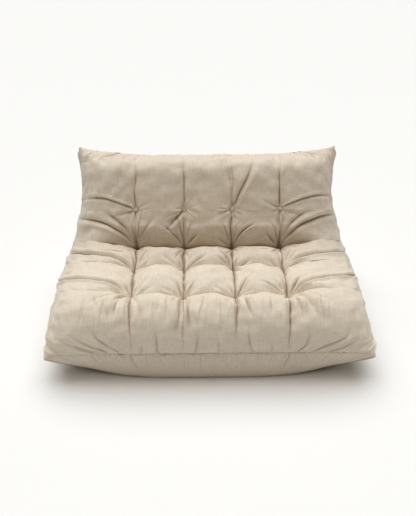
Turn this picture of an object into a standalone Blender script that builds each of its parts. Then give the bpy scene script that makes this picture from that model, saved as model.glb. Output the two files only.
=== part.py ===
"""A tufted floor lounge seat: one deep-buttoned pad that is both the seat and the back.

The frame: X across the seat, Y from the front roll to the rear, Z up. The origin is on the floor, at the
middle of the seat's plan. Everything is in metres.

How it is built, from the outside in:
  cover     quilted_cover over the seat, the inside of the back and the sides, outer_back_panel,
            base_band, underside_cloth and a zip along the rear base seam
  tufting   sixteen covered buttons, each with a cord that is knotted behind a tie strip
  filling   three layers of fibre wadding over three foam blocks
"""

import math

import bmesh
import bpy
import numpy as np
from mathutils import Matrix, Vector

# ---- Driving dimensions -------------------------------------------------------------------------------

# The side view of the crest of the pads, as (y, z, corner radius), from the front base seam over the
# front roll, along the seat, up the back and over the top to the top seam.
FRONT_SEAM = (-0.415, 0.135)
FRONT_ROLL = (-0.462, 0.342)
FRONT_ROLL_RADIUS = 0.125
INSIDE_CORNER = (0.085, 0.325)
INSIDE_CORNER_RADIUS = 0.13
TOP_ROLL = (0.180, 0.636)
TOP_ROLL_RADIUS = 0.055
TOP_SEAM = (TOP_ROLL[0] + 0.120, TOP_ROLL[1] - 0.014)

# The seam down each side, in side view: front ear, rear base corner, top ear.
FRONT_EAR = (-0.428, 0.122)
REAR_BASE_CORNER = (0.410, 0.135)
REAR_BASE_RADIUS = 0.035
TOP_EAR = (TOP_SEAM[0] - 0.002, TOP_SEAM[1] + 0.023)
EAR_INSET = (3.0, 0.3, 3.0)  # how many times as far as the faces the tip of an ear comes in, on X, Y and Z

# Half of the width, at shares of the way from the base seam to the top seam.
HALF_WIDTH_AT = ((0.0, 0.613), (0.06, 0.602), (0.20, 0.594), (0.40, 0.590), (0.55, 0.580),
                 (0.68, 0.553), (0.80, 0.523), (0.92, 0.516), (1.0, 0.532))
SHOULDER_POWER = 0.62  # 1 would be an ellipse from the crest to the side seam; less is boxier
EVEN_OVER = 0.08  # the share of the crest, from either end, over which the columns turn evenly spaced
OUTER_BACK_BULGE = 0.020

# The footprint on the floor, a rounded rectangle that the base band narrows down to.
FOOT_HALF_WIDTH = 0.520
FOOT_FRONT_Y = -0.380
FOOT_REAR_Y = 0.385
FOOT_SQUARENESS = 4.0
BAND_BULGE = 0.010

# Tufting: four columns of buttons in four rows.
COLUMN_PITCH = 0.194
COLUMNS = 4
ROW_NAMES = ("front", "middle", "crease", "back")
ROW_AT = (0.310, 0.525, 0.650, 0.770)  # along the crest, from the front base seam
TUFT_DEPTH = (0.078, 0.072, 0.105, 0.022)
ROW_GROOVE = (0.045, 0.040, 0.085, 0.0)
COLUMN_GROOVE_AT = ((0.0, 0.003), (0.15, 0.012), (0.28, 0.030), (0.55, 0.035), (0.66, 0.030),
                    (0.80, 0.012), (1.05, 0.003))  # at distances along the crest
BUTTON_RADIUS = 0.0095
BUTTON_SEAT = BUTTON_RADIUS + 0.0020  # half of the least flat floor under a button
TUFT_FLOOR = BUTTON_SEAT + 0.0043  # half of the flat floor of a groove
PAD_POWER = 0.65
SIDE_FADE = 0.12  # how far a row's groove runs on past the outer buttons

# Layers and clearances.
QUILT_THICK = 0.008
PANEL_THICK = 0.003
WADDING_GAP = 0.006
WADDING_THICK = 0.008
FOAM_GAP = 0.008
WADDING_MARGIN = 0.0020  # how far short of a seam the wadding stops
SEAM_GAP = 0.0012
UNDERSIDE_THICK = 0.004
UNDERSIDE_INSET = 0.012
BAND_LIFT = 0.005  # the band's lower edge, just above the underside cloth
BASE_FOAM_TOP = 0.118
PLY_GAP = 0.0008

# Buttons, cords and tie strips.
BUTTON_HEIGHT = 0.0055
BUTTON_LIFT = 0.0010
SHANK_RADIUS = 0.0018
SHANK_LENGTH = 0.0060
CORD_RADIUS = 0.0012
CORD_GAP = 0.0004
CORD_HOLE_RADIUS = 0.0030
KNOT_RADIUS = 0.0034
KNOT_LENGTH = 0.0045
STRIP_WIDTH = 0.030
STRIP_THICK = 0.0020
STRIP_OVERHANG = 0.045
STRIP_HOLE_RADIUS = 0.0019
CHANNEL_WIDTH = 0.038
CHANNEL_DEPTH = 0.013
BACK_CORD_LENGTH = 0.178

# Zip along the rear base seam.
ZIP_LENGTH = 0.840
ZIP_WINDOW = 0.0135
ZIP_TAPE_WIDTH = 0.0090
ZIP_TAPE_THICK = 0.0008
ZIP_ROW_WIDTH = 0.0016
ZIP_ROW_THICK = 0.0022
ZIP_ROW_SPLIT = 0.0018
ZIP_INSET = 0.0065  # of the middle of the teeth, in from the outer face of the panels
ZIP_ROOM = 0.005  # clear round the zip, cut out of the wadding
SLIDER_LENGTH = 0.012
SLIDER_WIDTH = 0.0100
SLIDER_PLATE = 0.0009
SLIDER_POST = 0.0010
SLIDER_CLEAR = 0.0004
FLANGE_REACH = 0.0012
STOP_LENGTH = 0.004
TAB_LENGTH = 0.026
TAB_WIDTH = 0.0080
TAB_THICK = 0.0012
TAB_BLADE_STEP = 0.0001  # how far the wide blade lies below the faces of the tab's middle
TAB_EYE = 0.0032
BAIL_HEIGHT = 0.0080
BAIL_WIDTH = 0.0018
BAIL_WALL = 0.0009

# Mesh steps.
ARC_STEPS = 12
TOP_STEPS = (0.27, 0.48, 0.65, 0.85, 1.0)  # from the top row of buttons to the top seam
OUTER_STEPS = (0.16, 0.42, 0.70, 0.88, 1.0)  # from the outer buttons to the side seam
BAND_RINGS = 2
BUTTON_SIDES = 10
CORD_SIDES = 6

# Colours, linear RGB.
FABRIC = (0.62, 0.54, 0.42)
BASE_CLOTH = (0.10, 0.10, 0.10)
FIBRE = (0.85, 0.85, 0.83)
FIRM_FOAM = (0.80, 0.74, 0.50)
SOFT_FOAM = (0.88, 0.86, 0.78)
TWINE = (0.72, 0.66, 0.52)
WEBBING = (0.50, 0.46, 0.38)
TAPE = (0.55, 0.48, 0.37)
NYLON = (0.60, 0.53, 0.41)
ZINC = (0.56, 0.55, 0.53)


# ---- The form ----------------------------------------------------------------------------------------


def unit(v):
    return v / np.linalg.norm(v)


def rounded_path(corners, inset):
    """Points and outward normals along a path in side view whose corners are rounded, moved in by inset.

    Each corner is (y, z, radius), and the outside of the object is on the left of the way it runs.
    """
    points = [np.array(corner[:2]) for corner in corners]
    found = [points[0]]
    ways = [unit(points[1] - points[0])]
    for before, here, after, corner in zip(points, points[1:], points[2:], corners[1:]):
        back, on = unit(before - here), unit(after - here)
        half = math.acos(np.clip(back @ on, -1, 1)) / 2
        bisector = unit(back + on)
        convex = back[0] * on[1] - back[1] * on[0] > 0
        radius = corner[2]
        centre = here + bisector * radius / math.sin(half)
        reach = radius - inset if convex else radius + inset
        start = math.atan2(*(here + back * radius / math.tan(half) - centre)[::-1])
        end = math.atan2(*(here + on * radius / math.tan(half) - centre)[::-1])
        turn = (end - start + math.pi) % math.tau - math.pi
        for step in range(ARC_STEPS + 1):
            angle = start + turn * step / ARC_STEPS
            spoke = np.array([math.cos(angle), math.sin(angle)])
            found.append(centre + spoke * reach)
            tangent = np.array([-spoke[1], spoke[0]]) * math.copysign(1, turn)
            ways.append(tangent)
    found.append(points[-1])
    ways.append(unit(points[-1] - points[-2]))
    ways = np.array(ways)
    return np.array(found), np.stack([-ways[:, 1], ways[:, 0]], axis=1)


def lengths_along(points):
    steps = np.linalg.norm(np.diff(points, axis=0), axis=1)
    return np.concatenate([[0], np.cumsum(steps)])


def read_at(knots, values, share):
    """values, given at knots, read at each share. Works for one column or several."""
    values = np.asarray(values)
    if values.ndim == 1:
        return np.interp(share, knots, values)
    return np.stack([np.interp(share, knots, column) for column in values.T], axis=-1)


def smooth_read(table, share):
    """A smooth curve through (place, value) pairs, read at each share."""
    places, values = (np.array(column) for column in zip(*table))
    slopes = np.gradient(values, places)
    index = np.clip(np.searchsorted(places, share) - 1, 0, len(places) - 2)
    width = places[index + 1] - places[index]
    t = (share - places[index]) / width
    rise = values[index] * (2 * t**3 - 3 * t**2 + 1) + values[index + 1] * (3 * t**2 - 2 * t**3)
    lean = slopes[index] * (t**3 - 2 * t**2 + t) + slopes[index + 1] * (t**3 - t**2)
    return rise + lean * width


def crest_corners(inset):
    return (
        (FRONT_SEAM[0] + inset, FRONT_SEAM[1], 0),
        (*FRONT_ROLL, FRONT_ROLL_RADIUS),
        (*INSIDE_CORNER, INSIDE_CORNER_RADIUS),
        (*TOP_ROLL, TOP_ROLL_RADIUS),
        (TOP_SEAM[0] - inset, TOP_SEAM[1] - inset, 0),
    )


def side_corners(inset):
    return (
        (FRONT_EAR[0] + inset, FRONT_EAR[1], 0),
        (REAR_BASE_CORNER[0], REAR_BASE_CORNER[1], REAR_BASE_RADIUS),
        (TOP_EAR[0] - EAR_INSET[1] * inset, TOP_EAR[1] - EAR_INSET[2] * inset, 0),
    )


CREST_KNOTS = lengths_along(rounded_path(crest_corners(0), 0)[0])
CREST_LENGTH = CREST_KNOTS[-1]
REAR_CORNER_SHARE = ROW_AT[2] / CREST_LENGTH  # the crease runs out to the rear base corner


def crest(share, inset):
    """The crest of the pads in side view, and the way out of the pad there."""
    knots = CREST_KNOTS / CREST_LENGTH
    points, normals = rounded_path(crest_corners(inset), inset)
    return read_at(knots, points, share), read_at(knots, normals, share)


def side_seam(share, inset):
    """The side seam in side view. The rear base corner is at REAR_CORNER_SHARE."""
    points, _ = rounded_path(side_corners(0), 0)
    at = lengths_along(points)
    corner = at[1 + ARC_STEPS // 2]
    knots = np.where(
        at <= corner,
        at / corner * REAR_CORNER_SHARE,
        REAR_CORNER_SHARE + (at - corner) / (at[-1] - corner) * (1 - REAR_CORNER_SHARE),
    )
    front, top = side_corners(inset)[0], side_corners(inset)[2]
    moved = points.copy()
    moved[0], moved[-1] = front[:2], top[:2]
    moved[1:-1, 0] -= inset
    return read_at(knots, moved, share)


OUTER_COLUMN = COLUMN_PITCH * (COLUMNS - 1) / 2
ROW_SHARES = np.array(ROW_AT) / CREST_LENGTH


def pad_profile(distance, span):
    """0 on the floor of a groove, rising to 1 at half a span from it."""
    rise = np.clip((distance - TUFT_FLOOR) / (span / 2 - TUFT_FLOOR), 0, 1)
    return np.sin(np.pi / 2 * rise) ** PAD_POWER


def tuft_depth(x, share):
    """How far the tufting pulls the surface in below the crest."""
    along = share * CREST_LENGTH
    side = np.abs(x)
    nearest = np.abs((x / COLUMN_PITCH + COLUMNS / 2) % 1 - 0.5) * COLUMN_PITCH
    past = np.clip(side - OUTER_COLUMN, 0, None)
    off_column = np.where(side > OUTER_COLUMN, past, nearest)
    column_pad = pad_profile(off_column, COLUMN_PITCH)
    column_floor = np.interp(along, *zip(*COLUMN_GROOVE_AT))
    depth = column_floor * (1 - column_pad)
    fade = np.exp(-((past / SIDE_FADE) ** 2))
    edges = np.concatenate([[0], ROW_AT, [CREST_LENGTH]])
    for row, at in enumerate(ROW_AT):
        gap = np.where(along < at, at - edges[row], edges[row + 2] - at)
        row_pad = pad_profile(np.abs(along - at), np.minimum(gap, COLUMN_PITCH))
        groove = ROW_GROOVE[row] * fade
        knot = np.clip(TUFT_DEPTH[row] - ROW_GROOVE[row] - column_floor, 0, None)
        depth = depth + groove * (1 - row_pad) + knot * (1 - row_pad) * (1 - column_pad)
    return depth


def quilt_grid(shares, across, inset):
    """The quilted face: rows go along the crest, and across runs from -1, the left side seam, to 1."""
    share, u = np.meshgrid(shares, across, indexing="ij")
    centre, normal = crest(share, inset)
    seam = side_seam(share, inset)
    tip = np.clip(1 - (1 - share) / EVEN_OVER, 0, 1)
    half_width = smooth_read(HALF_WIDTH_AT, share) - inset * (1 + (EAR_INSET[0] - 1) * tip)
    past = np.clip(2 * np.abs(u) - 1, 0, 1)
    even = np.arcsin(past ** (1 / SHOULDER_POWER))
    along = np.clip(np.minimum(share, 1 - share) / EVEN_OVER, 0, 1)
    turn = past * np.pi / 2 * along + even * (1 - along)
    out = np.sin(turn) ** SHOULDER_POWER
    down = (1 - np.cos(turn) ** SHOULDER_POWER)[..., None]
    x = np.where(
        np.abs(u) <= 0.5, 2 * np.abs(u) * OUTER_COLUMN, OUTER_COLUMN + (half_width - OUTER_COLUMN) * out
    )
    ends = np.clip(np.minimum(share, 1 - share) / 0.03, 0, 1)
    pulled = normal * (tuft_depth(x, share) * ends)[..., None]
    profile = centre + (seam - centre) * down - pulled * (1 - down)
    return np.stack([np.sign(u) * x, profile[..., 0], profile[..., 1]], axis=-1)


def rear_grid(quilt, corner_row):
    """The outer back, from the top seam down to the rear base seam, between the two side seams."""
    left, right = quilt[:corner_row - 1:-1, 0], quilt[:corner_row - 1:-1, -1]
    top = quilt[-1]
    share = ((top[:, 0] - top[0, 0]) / (top[-1, 0] - top[0, 0]))[None, :, None]
    grid = left[:, None] * (1 - share) + right[:, None] * share
    ruled_top = grid[0].copy()
    height = np.linspace(0, 1, len(left))[:, None, None]
    grid = grid + (top - ruled_top)[None] * (1 - height) ** 2
    bulge = OUTER_BACK_BULGE * np.sin(np.pi * height) * (1 - (2 * share - 1) ** 4)
    grid[..., 1] += bulge[..., 0]
    return grid


def base_loop(quilt, rear, corner_row):
    """The base seam as one closed loop: front, right side, rear, left side."""
    return np.concatenate(
        [quilt[0, :-1], quilt[:corner_row, -1], rear[-1, ::-1][:-1], quilt[corner_row:0:-1, 0]]
    )


def footprint(loop, inset, height):
    """Each point of the base seam carried in to the rounded rectangle on the floor."""
    centre = np.array([0, (FOOT_FRONT_Y + FOOT_REAR_Y) / 2])
    half = np.array([FOOT_HALF_WIDTH - inset, (FOOT_REAR_Y - FOOT_FRONT_Y) / 2 - inset])
    low, high = loop[:, :2].min(axis=0), loop[:, :2].max(axis=0)
    squared = (loop[:, :2] - low) / (high - low) * 2 - 1
    edge_on = ACROSS_COUNT - 1
    sides = np.arange(len(loop))
    front = sides <= edge_on
    rear = (sides >= edge_on + CORNER_ROW) & (sides <= 2 * edge_on + CORNER_ROW)
    squared[front, 1], squared[rear, 1] = -1, 1
    upright = ~(front | rear)
    squared[upright, 0] = np.sign(squared[upright, 0])
    spokes = squared * half
    reach = (np.abs(squared) ** FOOT_SQUARENESS).sum(axis=1) ** (-1 / FOOT_SQUARENESS)
    foot = spokes * reach[:, None] + centre
    return np.concatenate([foot, np.full((len(foot), 1), height)], axis=1)


def band_rings(loop, inset, height):
    """The base band as rings from the base seam down to the footprint, with a slight bulge."""
    foot = footprint(loop, inset, height)
    outward = foot.copy()
    outward[:, 2] = 0
    outward /= np.linalg.norm(outward, axis=1)[:, None]
    rings = []
    for step in range(BAND_RINGS + 1):
        share = step / BAND_RINGS
        rings.append(loop * (1 - share) + foot * share + outward * BAND_BULGE * math.sin(math.pi * share))
    return np.array(rings)


def spread(start, end, edge):
    """Stations from start to end: a short step at each end, then the middle."""
    return [start, start + edge, (start + end) / 2, end - edge]


def crest_stations():
    edge = BUTTON_SEAT / CREST_LENGTH
    rows = list(ROW_SHARES)
    found = [0, 0.22 * rows[0], 0.44 * rows[0], 0.66 * rows[0], rows[0] - edge]
    for start, end in zip(rows, rows[1:]):
        found += spread(start, end, edge)
    last = rows[-1]
    found += [last, last + edge]
    found += [last + edge + (1 - last - edge) * step for step in TOP_STEPS]
    return np.array(found), found.index(REAR_CORNER_SHARE)


def across_stations():
    edge = BUTTON_SEAT / OUTER_COLUMN / 2
    columns = [(column / (COLUMNS - 1) - 0.5) for column in range(COLUMNS)]
    found = []
    for start, end in zip(columns, columns[1:]):
        found += spread(start, end, edge)
    found.append(0.5)
    beside = math.asin((BUTTON_SEAT / (HALF_WIDTH_AT[-2][1] - OUTER_COLUMN)) ** (1 / SHOULDER_POWER))
    outer = [0.5 + 0.5 * step for step in (beside / (math.pi / 2), *OUTER_STEPS)]
    return np.array([-place for place in reversed(outer)] + found + outer)


SHARES, CORNER_ROW = crest_stations()
ACROSS = across_stations()
ACROSS_COUNT = len(ACROSS)


def form(inset, foot_height):
    """Every face of the pad, moved in by inset: quilted face, outer back and base band."""
    quilt = quilt_grid(SHARES, ACROSS, inset)
    rear = rear_grid(quilt, CORNER_ROW)
    band = band_rings(base_loop(quilt, rear, CORNER_ROW), inset, foot_height)
    return quilt, rear, band


# ---- Mesh helpers ------------------------------------------------------------------------------------


def material(name, colour, roughness=0.85, metallic=0.0):
    found = bpy.data.materials.get(name)
    if found:
        return found
    made = bpy.data.materials.new(name)
    made.use_nodes = True
    shader = made.node_tree.nodes["Principled BSDF"]
    shader.inputs["Base Color"].default_value = (*colour, 1)
    shader.inputs["Roughness"].default_value = roughness
    shader.inputs["Metallic"].default_value = metallic
    return made


def add_object(name, mesh, finish):
    piece = bpy.data.objects.new(name, mesh)
    bpy.context.scene.collection.objects.link(piece)
    if finish and not mesh.materials:
        mesh.materials.append(finish)
    return piece


def finish_mesh(name, bm):
    bmesh.ops.remove_doubles(bm, verts=bm.verts, dist=1e-7)
    bmesh.ops.recalc_face_normals(bm, faces=bm.faces)
    if bm.calc_volume(signed=True) < 0:
        bmesh.ops.reverse_faces(bm, faces=bm.faces)
    mesh = bpy.data.meshes.new(name)
    bm.to_mesh(mesh)
    bm.free()
    mesh.shade_smooth()
    mesh.set_sharp_from_angle(angle=math.radians(40))
    return mesh


def add_grid(bm, grid, closed=False, flipped=False):
    """Triangles over a grid of points, the same in every layer, so that layers stay apart.

    closed joins the last column to the first. The halves mirror each other. No diagonal meets a corner, or
    every corner has one if flipped.
    """
    rows = [[bm.verts.new(point) for point in row] for row in grid]
    for row, (low, high) in enumerate(zip(rows, rows[1:])):
        count = len(low)
        for i in range(count if closed else count - 1):
            j = (i + 1) % count
            leans = (i < count // 2) != (row < len(rows) // 2)
            if leans != flipped:
                bm.faces.new((low[i], low[j], high[j]))
                bm.faces.new((low[i], high[j], high[i]))
            else:
                bm.faces.new((low[i], low[j], high[i]))
                bm.faces.new((low[j], high[j], high[i]))
    return rows


def inward(line, toward, distance):
    """From the points of an edge, steps of the given length towards the next row in."""
    way = toward - line
    return way / np.linalg.norm(way, axis=-1, keepdims=True) * distance


def trimmed(grid, distance, sides=True):
    """A grid with its outer rows moved in, which leaves the gap along a seam."""
    moved = grid.copy()
    moved[0] += inward(grid[0], grid[1], distance)
    moved[-1] += inward(grid[-1], grid[-2], distance)
    if sides:
        moved[:, 0] += inward(grid[:, 0], grid[:, 1], distance)
        moved[:, -1] += inward(grid[:, -1], grid[:, -2], distance)
    return moved


def farness(point):
    return abs(point.x) + point.y + point.z


def shell(name, outer, inner, finish, closed=False, flipped=False):
    """A solid layer between two grids. closed is for a ring, whose columns run all the way round."""
    bm = bmesh.new()
    out_rows, in_rows = add_grid(bm, outer, closed, flipped), add_grid(bm, inner, closed, flipped)
    edges = [(out_rows[0], in_rows[0]), (out_rows[-1], in_rows[-1])]
    if not closed:
        for end in (0, -1):
            edges.append(([row[end] for row in out_rows], [row[end] for row in in_rows]))
    for out_line, in_line in edges:
        count = len(out_line)
        for step in range(count if closed else count - 1):
            # Both sides of a seam have to split its quads along the same diagonal.
            i, j = sorted((step, (step + 1) % count), key=lambda at: farness(out_line[at].co))
            bm.faces.new((out_line[i], out_line[j], in_line[j]))
            bm.faces.new((out_line[i], in_line[j], in_line[i]))
    return add_object(name, finish_mesh(name, bm), finish)


def closed_form(name, inset, foot_height, finish):
    """The whole pad moved in by inset, as one closed solid."""
    quilt, rear, band = form(inset, foot_height)
    bm = bmesh.new()
    add_grid(bm, quilt)
    add_grid(bm, rear, flipped=True)
    rings = add_grid(bm, band, closed=True)
    bm.faces.new(rings[-1])
    return add_object(name, finish_mesh(name, bm), finish)


def box(name, low, high, finish=None):
    bm = bmesh.new()
    bmesh.ops.create_cube(bm, size=1)
    low, high = Vector(low), Vector(high)
    size = high - low
    bmesh.ops.scale(bm, verts=bm.verts, vec=size)
    bmesh.ops.translate(bm, verts=bm.verts, vec=(low + high) / 2)
    return add_object(name, finish_mesh(name, bm), finish)


def prism(name, outline, half_width, finish=None):
    """An outline in side view, as (y, z) points, extruded across the seat."""
    bm = bmesh.new()
    face = bm.faces.new([bm.verts.new((-half_width, y, z)) for y, z in outline])
    grown = bmesh.ops.extrude_face_region(bm, geom=[face])["geom"]
    verts = [item for item in grown if isinstance(item, bmesh.types.BMVert)]
    bmesh.ops.translate(bm, verts=verts, vec=(2 * half_width, 0, 0))
    return add_object(name, finish_mesh(name, bm), finish)


def turned_mesh(name, profile, sides):
    """A solid turned about Z. The profile is (radius, height) pairs, and its two ends are on the axis."""
    bm = bmesh.new()
    rings = []
    for radius, height in profile:
        if radius == 0:
            rings.append([bm.verts.new((0, 0, height))])
            continue
        angles = [math.tau * side / sides for side in range(sides)]
        rings.append([bm.verts.new((radius * math.cos(a), radius * math.sin(a), height)) for a in angles])
    for low, high in zip(rings, rings[1:]):
        for i in range(sides):
            j = (i + 1) % sides
            corners = [low[i % len(low)], low[j % len(low)], high[j % len(high)], high[i % len(high)]]
            bm.faces.new(list(dict.fromkeys(corners)))
    return finish_mesh(name, bm)


def as_helper(piece):
    """A cutter, which isn't a piece of the object."""
    piece.hide_render = True
    piece.display_type = "WIRE"
    return piece


def cut(piece, cutter, operation="DIFFERENCE"):
    modifier = piece.modifiers.new(operation.title() + "_" + cutter.name, "BOOLEAN")
    modifier.operation = operation
    modifier.object = cutter
    modifier.solver = "EXACT"


def joined_helper(name, pieces):
    """Several closed cutters as one object."""
    bm = bmesh.new()
    for piece in pieces:
        piece.data.transform(piece.matrix_world)
        bm.from_mesh(piece.data)
        bpy.data.objects.remove(piece)
    return as_helper(add_object(name, finish_mesh(name, bm), None))


# ---- Tufting -----------------------------------------------------------------------------------------


def row_frame(row):
    """The floor of a row's tufts in side view, and the way in from it."""
    share = ROW_SHARES[row]
    point, normal = crest(np.array(share), 0)
    depth = tuft_depth(np.array(OUTER_COLUMN), np.array(share))
    return point - normal * depth, -normal


def column_places():
    return [COLUMN_PITCH * (column - (COLUMNS - 1) / 2) for column in range(COLUMNS)]


def looking_along(way, place):
    """A placement whose -Z runs along way, given in side view."""
    toward = Vector((0, way[0], way[1]))
    turn = (-toward).to_track_quat("Z", "Y").to_matrix().to_4x4()
    return Matrix.Translation(place) @ turn


def cord_length(row):
    """From the floor of the tuft to the middle of the tie strip."""
    floor, way = row_frame(row)
    if ROW_NAMES[row] == "back":
        return BACK_CORD_LENGTH
    return (BASE_FOAM_TOP - STRIP_THICK - floor[1]) / way[1]


def button_mesh():
    """A domed, cloth-covered button with its shank."""
    dome = [(BUTTON_RADIUS * math.cos(a), BUTTON_HEIGHT * (0.35 + 0.65 * math.sin(a)))
            for a in np.linspace(0, math.pi / 2, 4)[:-1]]
    profile = [(0, -SHANK_LENGTH), (SHANK_RADIUS, -SHANK_LENGTH), (SHANK_RADIUS, 0), (BUTTON_RADIUS * 0.9, 0),
               *dome, (0, BUTTON_HEIGHT)]
    return turned_mesh("covered_button", profile, BUTTON_SIDES)


def cord_mesh(row):
    """A cord from just below a button's shank to its knot, against the far side of the tie strip."""
    start = SHANK_LENGTH - BUTTON_LIFT + CORD_GAP
    square_on = 1.0 if ROW_NAMES[row] == "back" else -row_frame(row)[1][1]
    slant = math.sqrt(1 - square_on**2) / square_on
    knot = cord_length(row) + STRIP_THICK / 2 / square_on + KNOT_RADIUS * slant + CORD_GAP
    profile = [(0, -knot - KNOT_LENGTH), (KNOT_RADIUS * 0.7, -knot - KNOT_LENGTH),
               (KNOT_RADIUS, -knot - KNOT_LENGTH / 2), (KNOT_RADIUS * 0.7, -knot), (CORD_RADIUS, -knot),
               (CORD_RADIUS, -start), (0, -start)]
    return turned_mesh("tuft_cord", profile, CORD_SIDES)


def rod(name, radius, start, end, sides):
    return turned_mesh(name, [(0, end), (radius, end), (radius, start), (0, start)], sides)


def make_buttons_and_cords():
    """A button and a cord for every tuft, and the cutter for the holes that the cords run in."""
    covered = button_mesh()
    cloth, twine = material("cover_fabric", FABRIC), material("tuft_twine", TWINE)
    cutters = []
    for row, row_name in enumerate(ROW_NAMES):
        floor, way = row_frame(row)
        length = cord_length(row)
        cord = cord_mesh(row)
        hole = rod("hole", CORD_HOLE_RADIUS, BUTTON_SEAT, -length - CHANNEL_DEPTH, CORD_SIDES)
        for number, x in enumerate(column_places(), start=1):
            seat = looking_along(way, (x, floor[0], floor[1]))
            button = add_object(f"button_{row_name}_{number}", covered, cloth)
            button.matrix_world = seat @ Matrix.Translation((0, 0, BUTTON_LIFT))
            add_object(f"tuft_cord_{row_name}_{number}", cord, twine).matrix_world = seat
            cutter = add_object("hole", hole.copy(), None)
            cutter.matrix_world = seat
            cutters.append(cutter)
    bpy.context.view_layer.update()
    return joined_helper("cord_holes", cutters)


def make_tie_strips():
    """The webbing strips that the cords are knotted behind, and the cutter for the channels they lie in."""
    webbing = material("tie_webbing", WEBBING)
    half = OUTER_COLUMN + STRIP_OVERHANG
    channels = []
    for row, row_name in enumerate(ROW_NAMES):
        floor, way = row_frame(row)
        middle = floor + way * cord_length(row)
        flat = row_name != "back"
        across = np.array([1.0, 0.0]) if flat else np.array([-way[1], way[0]])
        down = np.array([0.0, -1.0]) if flat else way

        def outline(half_height, start, end):
            return [middle + across * side * half_height + down * place
                    for side, place in ((-1, start), (1, start), (1, end), (-1, end))]

        strip = prism(f"tie_strip_{row_name}", outline(STRIP_WIDTH / 2, -STRIP_THICK / 2, STRIP_THICK / 2),
                      half, webbing)
        holes = []
        for x in column_places():
            drill = rod("strip_hole", STRIP_HOLE_RADIUS, 0.01, -0.01, CORD_SIDES)
            hole = add_object("strip_hole", drill, None)
            hole.matrix_world = looking_along(way, (x, middle[0], middle[1]))
            holes.append(hole)
        bpy.context.view_layer.update()
        cut(strip, joined_helper(f"strip_holes_{row_name}", holes))
        reach = CHANNEL_DEPTH if flat else 4 * CHANNEL_DEPTH
        opening = -STRIP_THICK / 2 - PLY_GAP - (CHANNEL_DEPTH if flat else 0)
        channels.append(prism("channel", outline(CHANNEL_WIDTH / 2, opening, reach), half + PLY_GAP * 3))
    bpy.context.view_layer.update()
    return channels


# ---- Filling -----------------------------------------------------------------------------------------


FOAM_INSET = QUILT_THICK + WADDING_GAP + WADDING_THICK + FOAM_GAP


def make_foam(cord_holes, channels):
    """One moulded outline cut into three blocks: a firm base, the seat and the back."""
    floor, way = row_frame(ROW_NAMES.index("crease"))
    firm, soft = material("firm_foam", FIRM_FOAM), material("soft_foam", SOFT_FOAM)
    foot_height = UNDERSIDE_THICK + PLY_GAP
    low_at = (BASE_FOAM_TOP + PLY_GAP - floor[1]) / way[1]
    foot = floor + way * low_at
    head = floor - way * 0.30
    side = np.array([-way[1], way[0]]) * PLY_GAP / 2
    far = 0.8
    bottom = BASE_FOAM_TOP + PLY_GAP
    outlines = {
        "base_foam": [(-far, -far), (far, -far), (far, BASE_FOAM_TOP), (-far, BASE_FOAM_TOP)],
        "seat_foam": [(-far, bottom), tuple(foot - side), tuple(head - side), (-far, head[1])],
        "back_foam": [tuple(foot + side), (far, bottom), (far, far), (head[0] + side[0], far),
                      tuple(head + side)],
    }
    for name, outline in outlines.items():
        block = closed_form(name, FOAM_INSET, foot_height, firm if name == "base_foam" else soft)
        cut(block, as_helper(prism(name + "_outline", outline, far)), "INTERSECT")
        cut(block, cord_holes)
    cut(bpy.data.objects["base_foam"], joined_helper("base_channels", channels[:-1]))
    cut(bpy.data.objects["back_foam"], joined_helper("back_channel", channels[-1:]))


def make_wadding(cord_holes):
    fibre = material("fibre_wadding", FIBRE)
    start = QUILT_THICK + WADDING_GAP
    end = start + WADDING_THICK
    foot = UNDERSIDE_THICK + PLY_GAP
    outer, inner = form(start, foot), form(end, foot)
    edge = WADDING_MARGIN
    quilt = shell("quilt_wadding", trimmed(outer[0], edge), trimmed(inner[0], edge), fibre)
    cut(quilt, cord_holes)
    rear = shell("outer_back_wadding", trimmed(outer[1], edge), trimmed(inner[1], edge), fibre, flipped=True)
    base = shell("base_wadding", trimmed(outer[2], edge, False), trimmed(inner[2], edge, False), fibre,
                 closed=True)
    y, z = zip_line()
    half = ZIP_LENGTH / 2 + ZIP_ROOM
    tall = ZIP_ROW_SPLIT / 2 + ZIP_ROW_WIDTH + CORD_GAP + ZIP_TAPE_WIDTH + ZIP_ROOM
    room = as_helper(box("zip_room", (-half, y - ZIP_ROOM, z - tall), (half, y + 10 * ZIP_ROOM, z + tall)))
    cut(rear, room)
    cut(base, room)


# ---- Cover -------------------------------------------------------------------------------------------


def make_cover(cord_holes):
    cloth = material("cover_fabric", FABRIC)
    faces = form(0, BAND_LIFT)
    quilt_back, panel_back = form(QUILT_THICK, BAND_LIFT), form(PANEL_THICK, BAND_LIFT)
    quilt = shell("quilted_cover", trimmed(faces[0], SEAM_GAP), trimmed(quilt_back[0], SEAM_GAP), cloth)
    cut(quilt, cord_holes)
    outer_back = shell("outer_back_panel", trimmed(faces[1], SEAM_GAP), trimmed(panel_back[1], SEAM_GAP),
                       cloth, flipped=True)
    band = shell("base_band", trimmed(faces[2], SEAM_GAP, False), trimmed(panel_back[2], SEAM_GAP, False),
                 cloth, closed=True)
    zip_y, zip_z = zip_line()
    half = ZIP_LENGTH / 2
    reach = 0.03
    window = as_helper(box("zip_window", (-half, zip_y - reach, zip_z - ZIP_WINDOW / 2),
                           (half, zip_y + reach, zip_z + ZIP_WINDOW / 2)))
    cut(outer_back, window)
    cut(band, window)


def make_underside():
    """The cloth that the seat stands on, inside the foot of the band."""
    faces = form(0, BAND_LIFT)
    loop = footprint(faces[2][0], UNDERSIDE_INSET, 0)
    bm = bmesh.new()
    face = bm.faces.new([bm.verts.new(point) for point in loop])
    grown = bmesh.ops.extrude_face_region(bm, geom=[face])["geom"]
    verts = [item for item in grown if isinstance(item, bmesh.types.BMVert)]
    bmesh.ops.translate(bm, verts=verts, vec=(0, 0, UNDERSIDE_THICK))
    add_object("underside_cloth", finish_mesh("underside_cloth", bm), material("underside", BASE_CLOTH))


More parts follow.
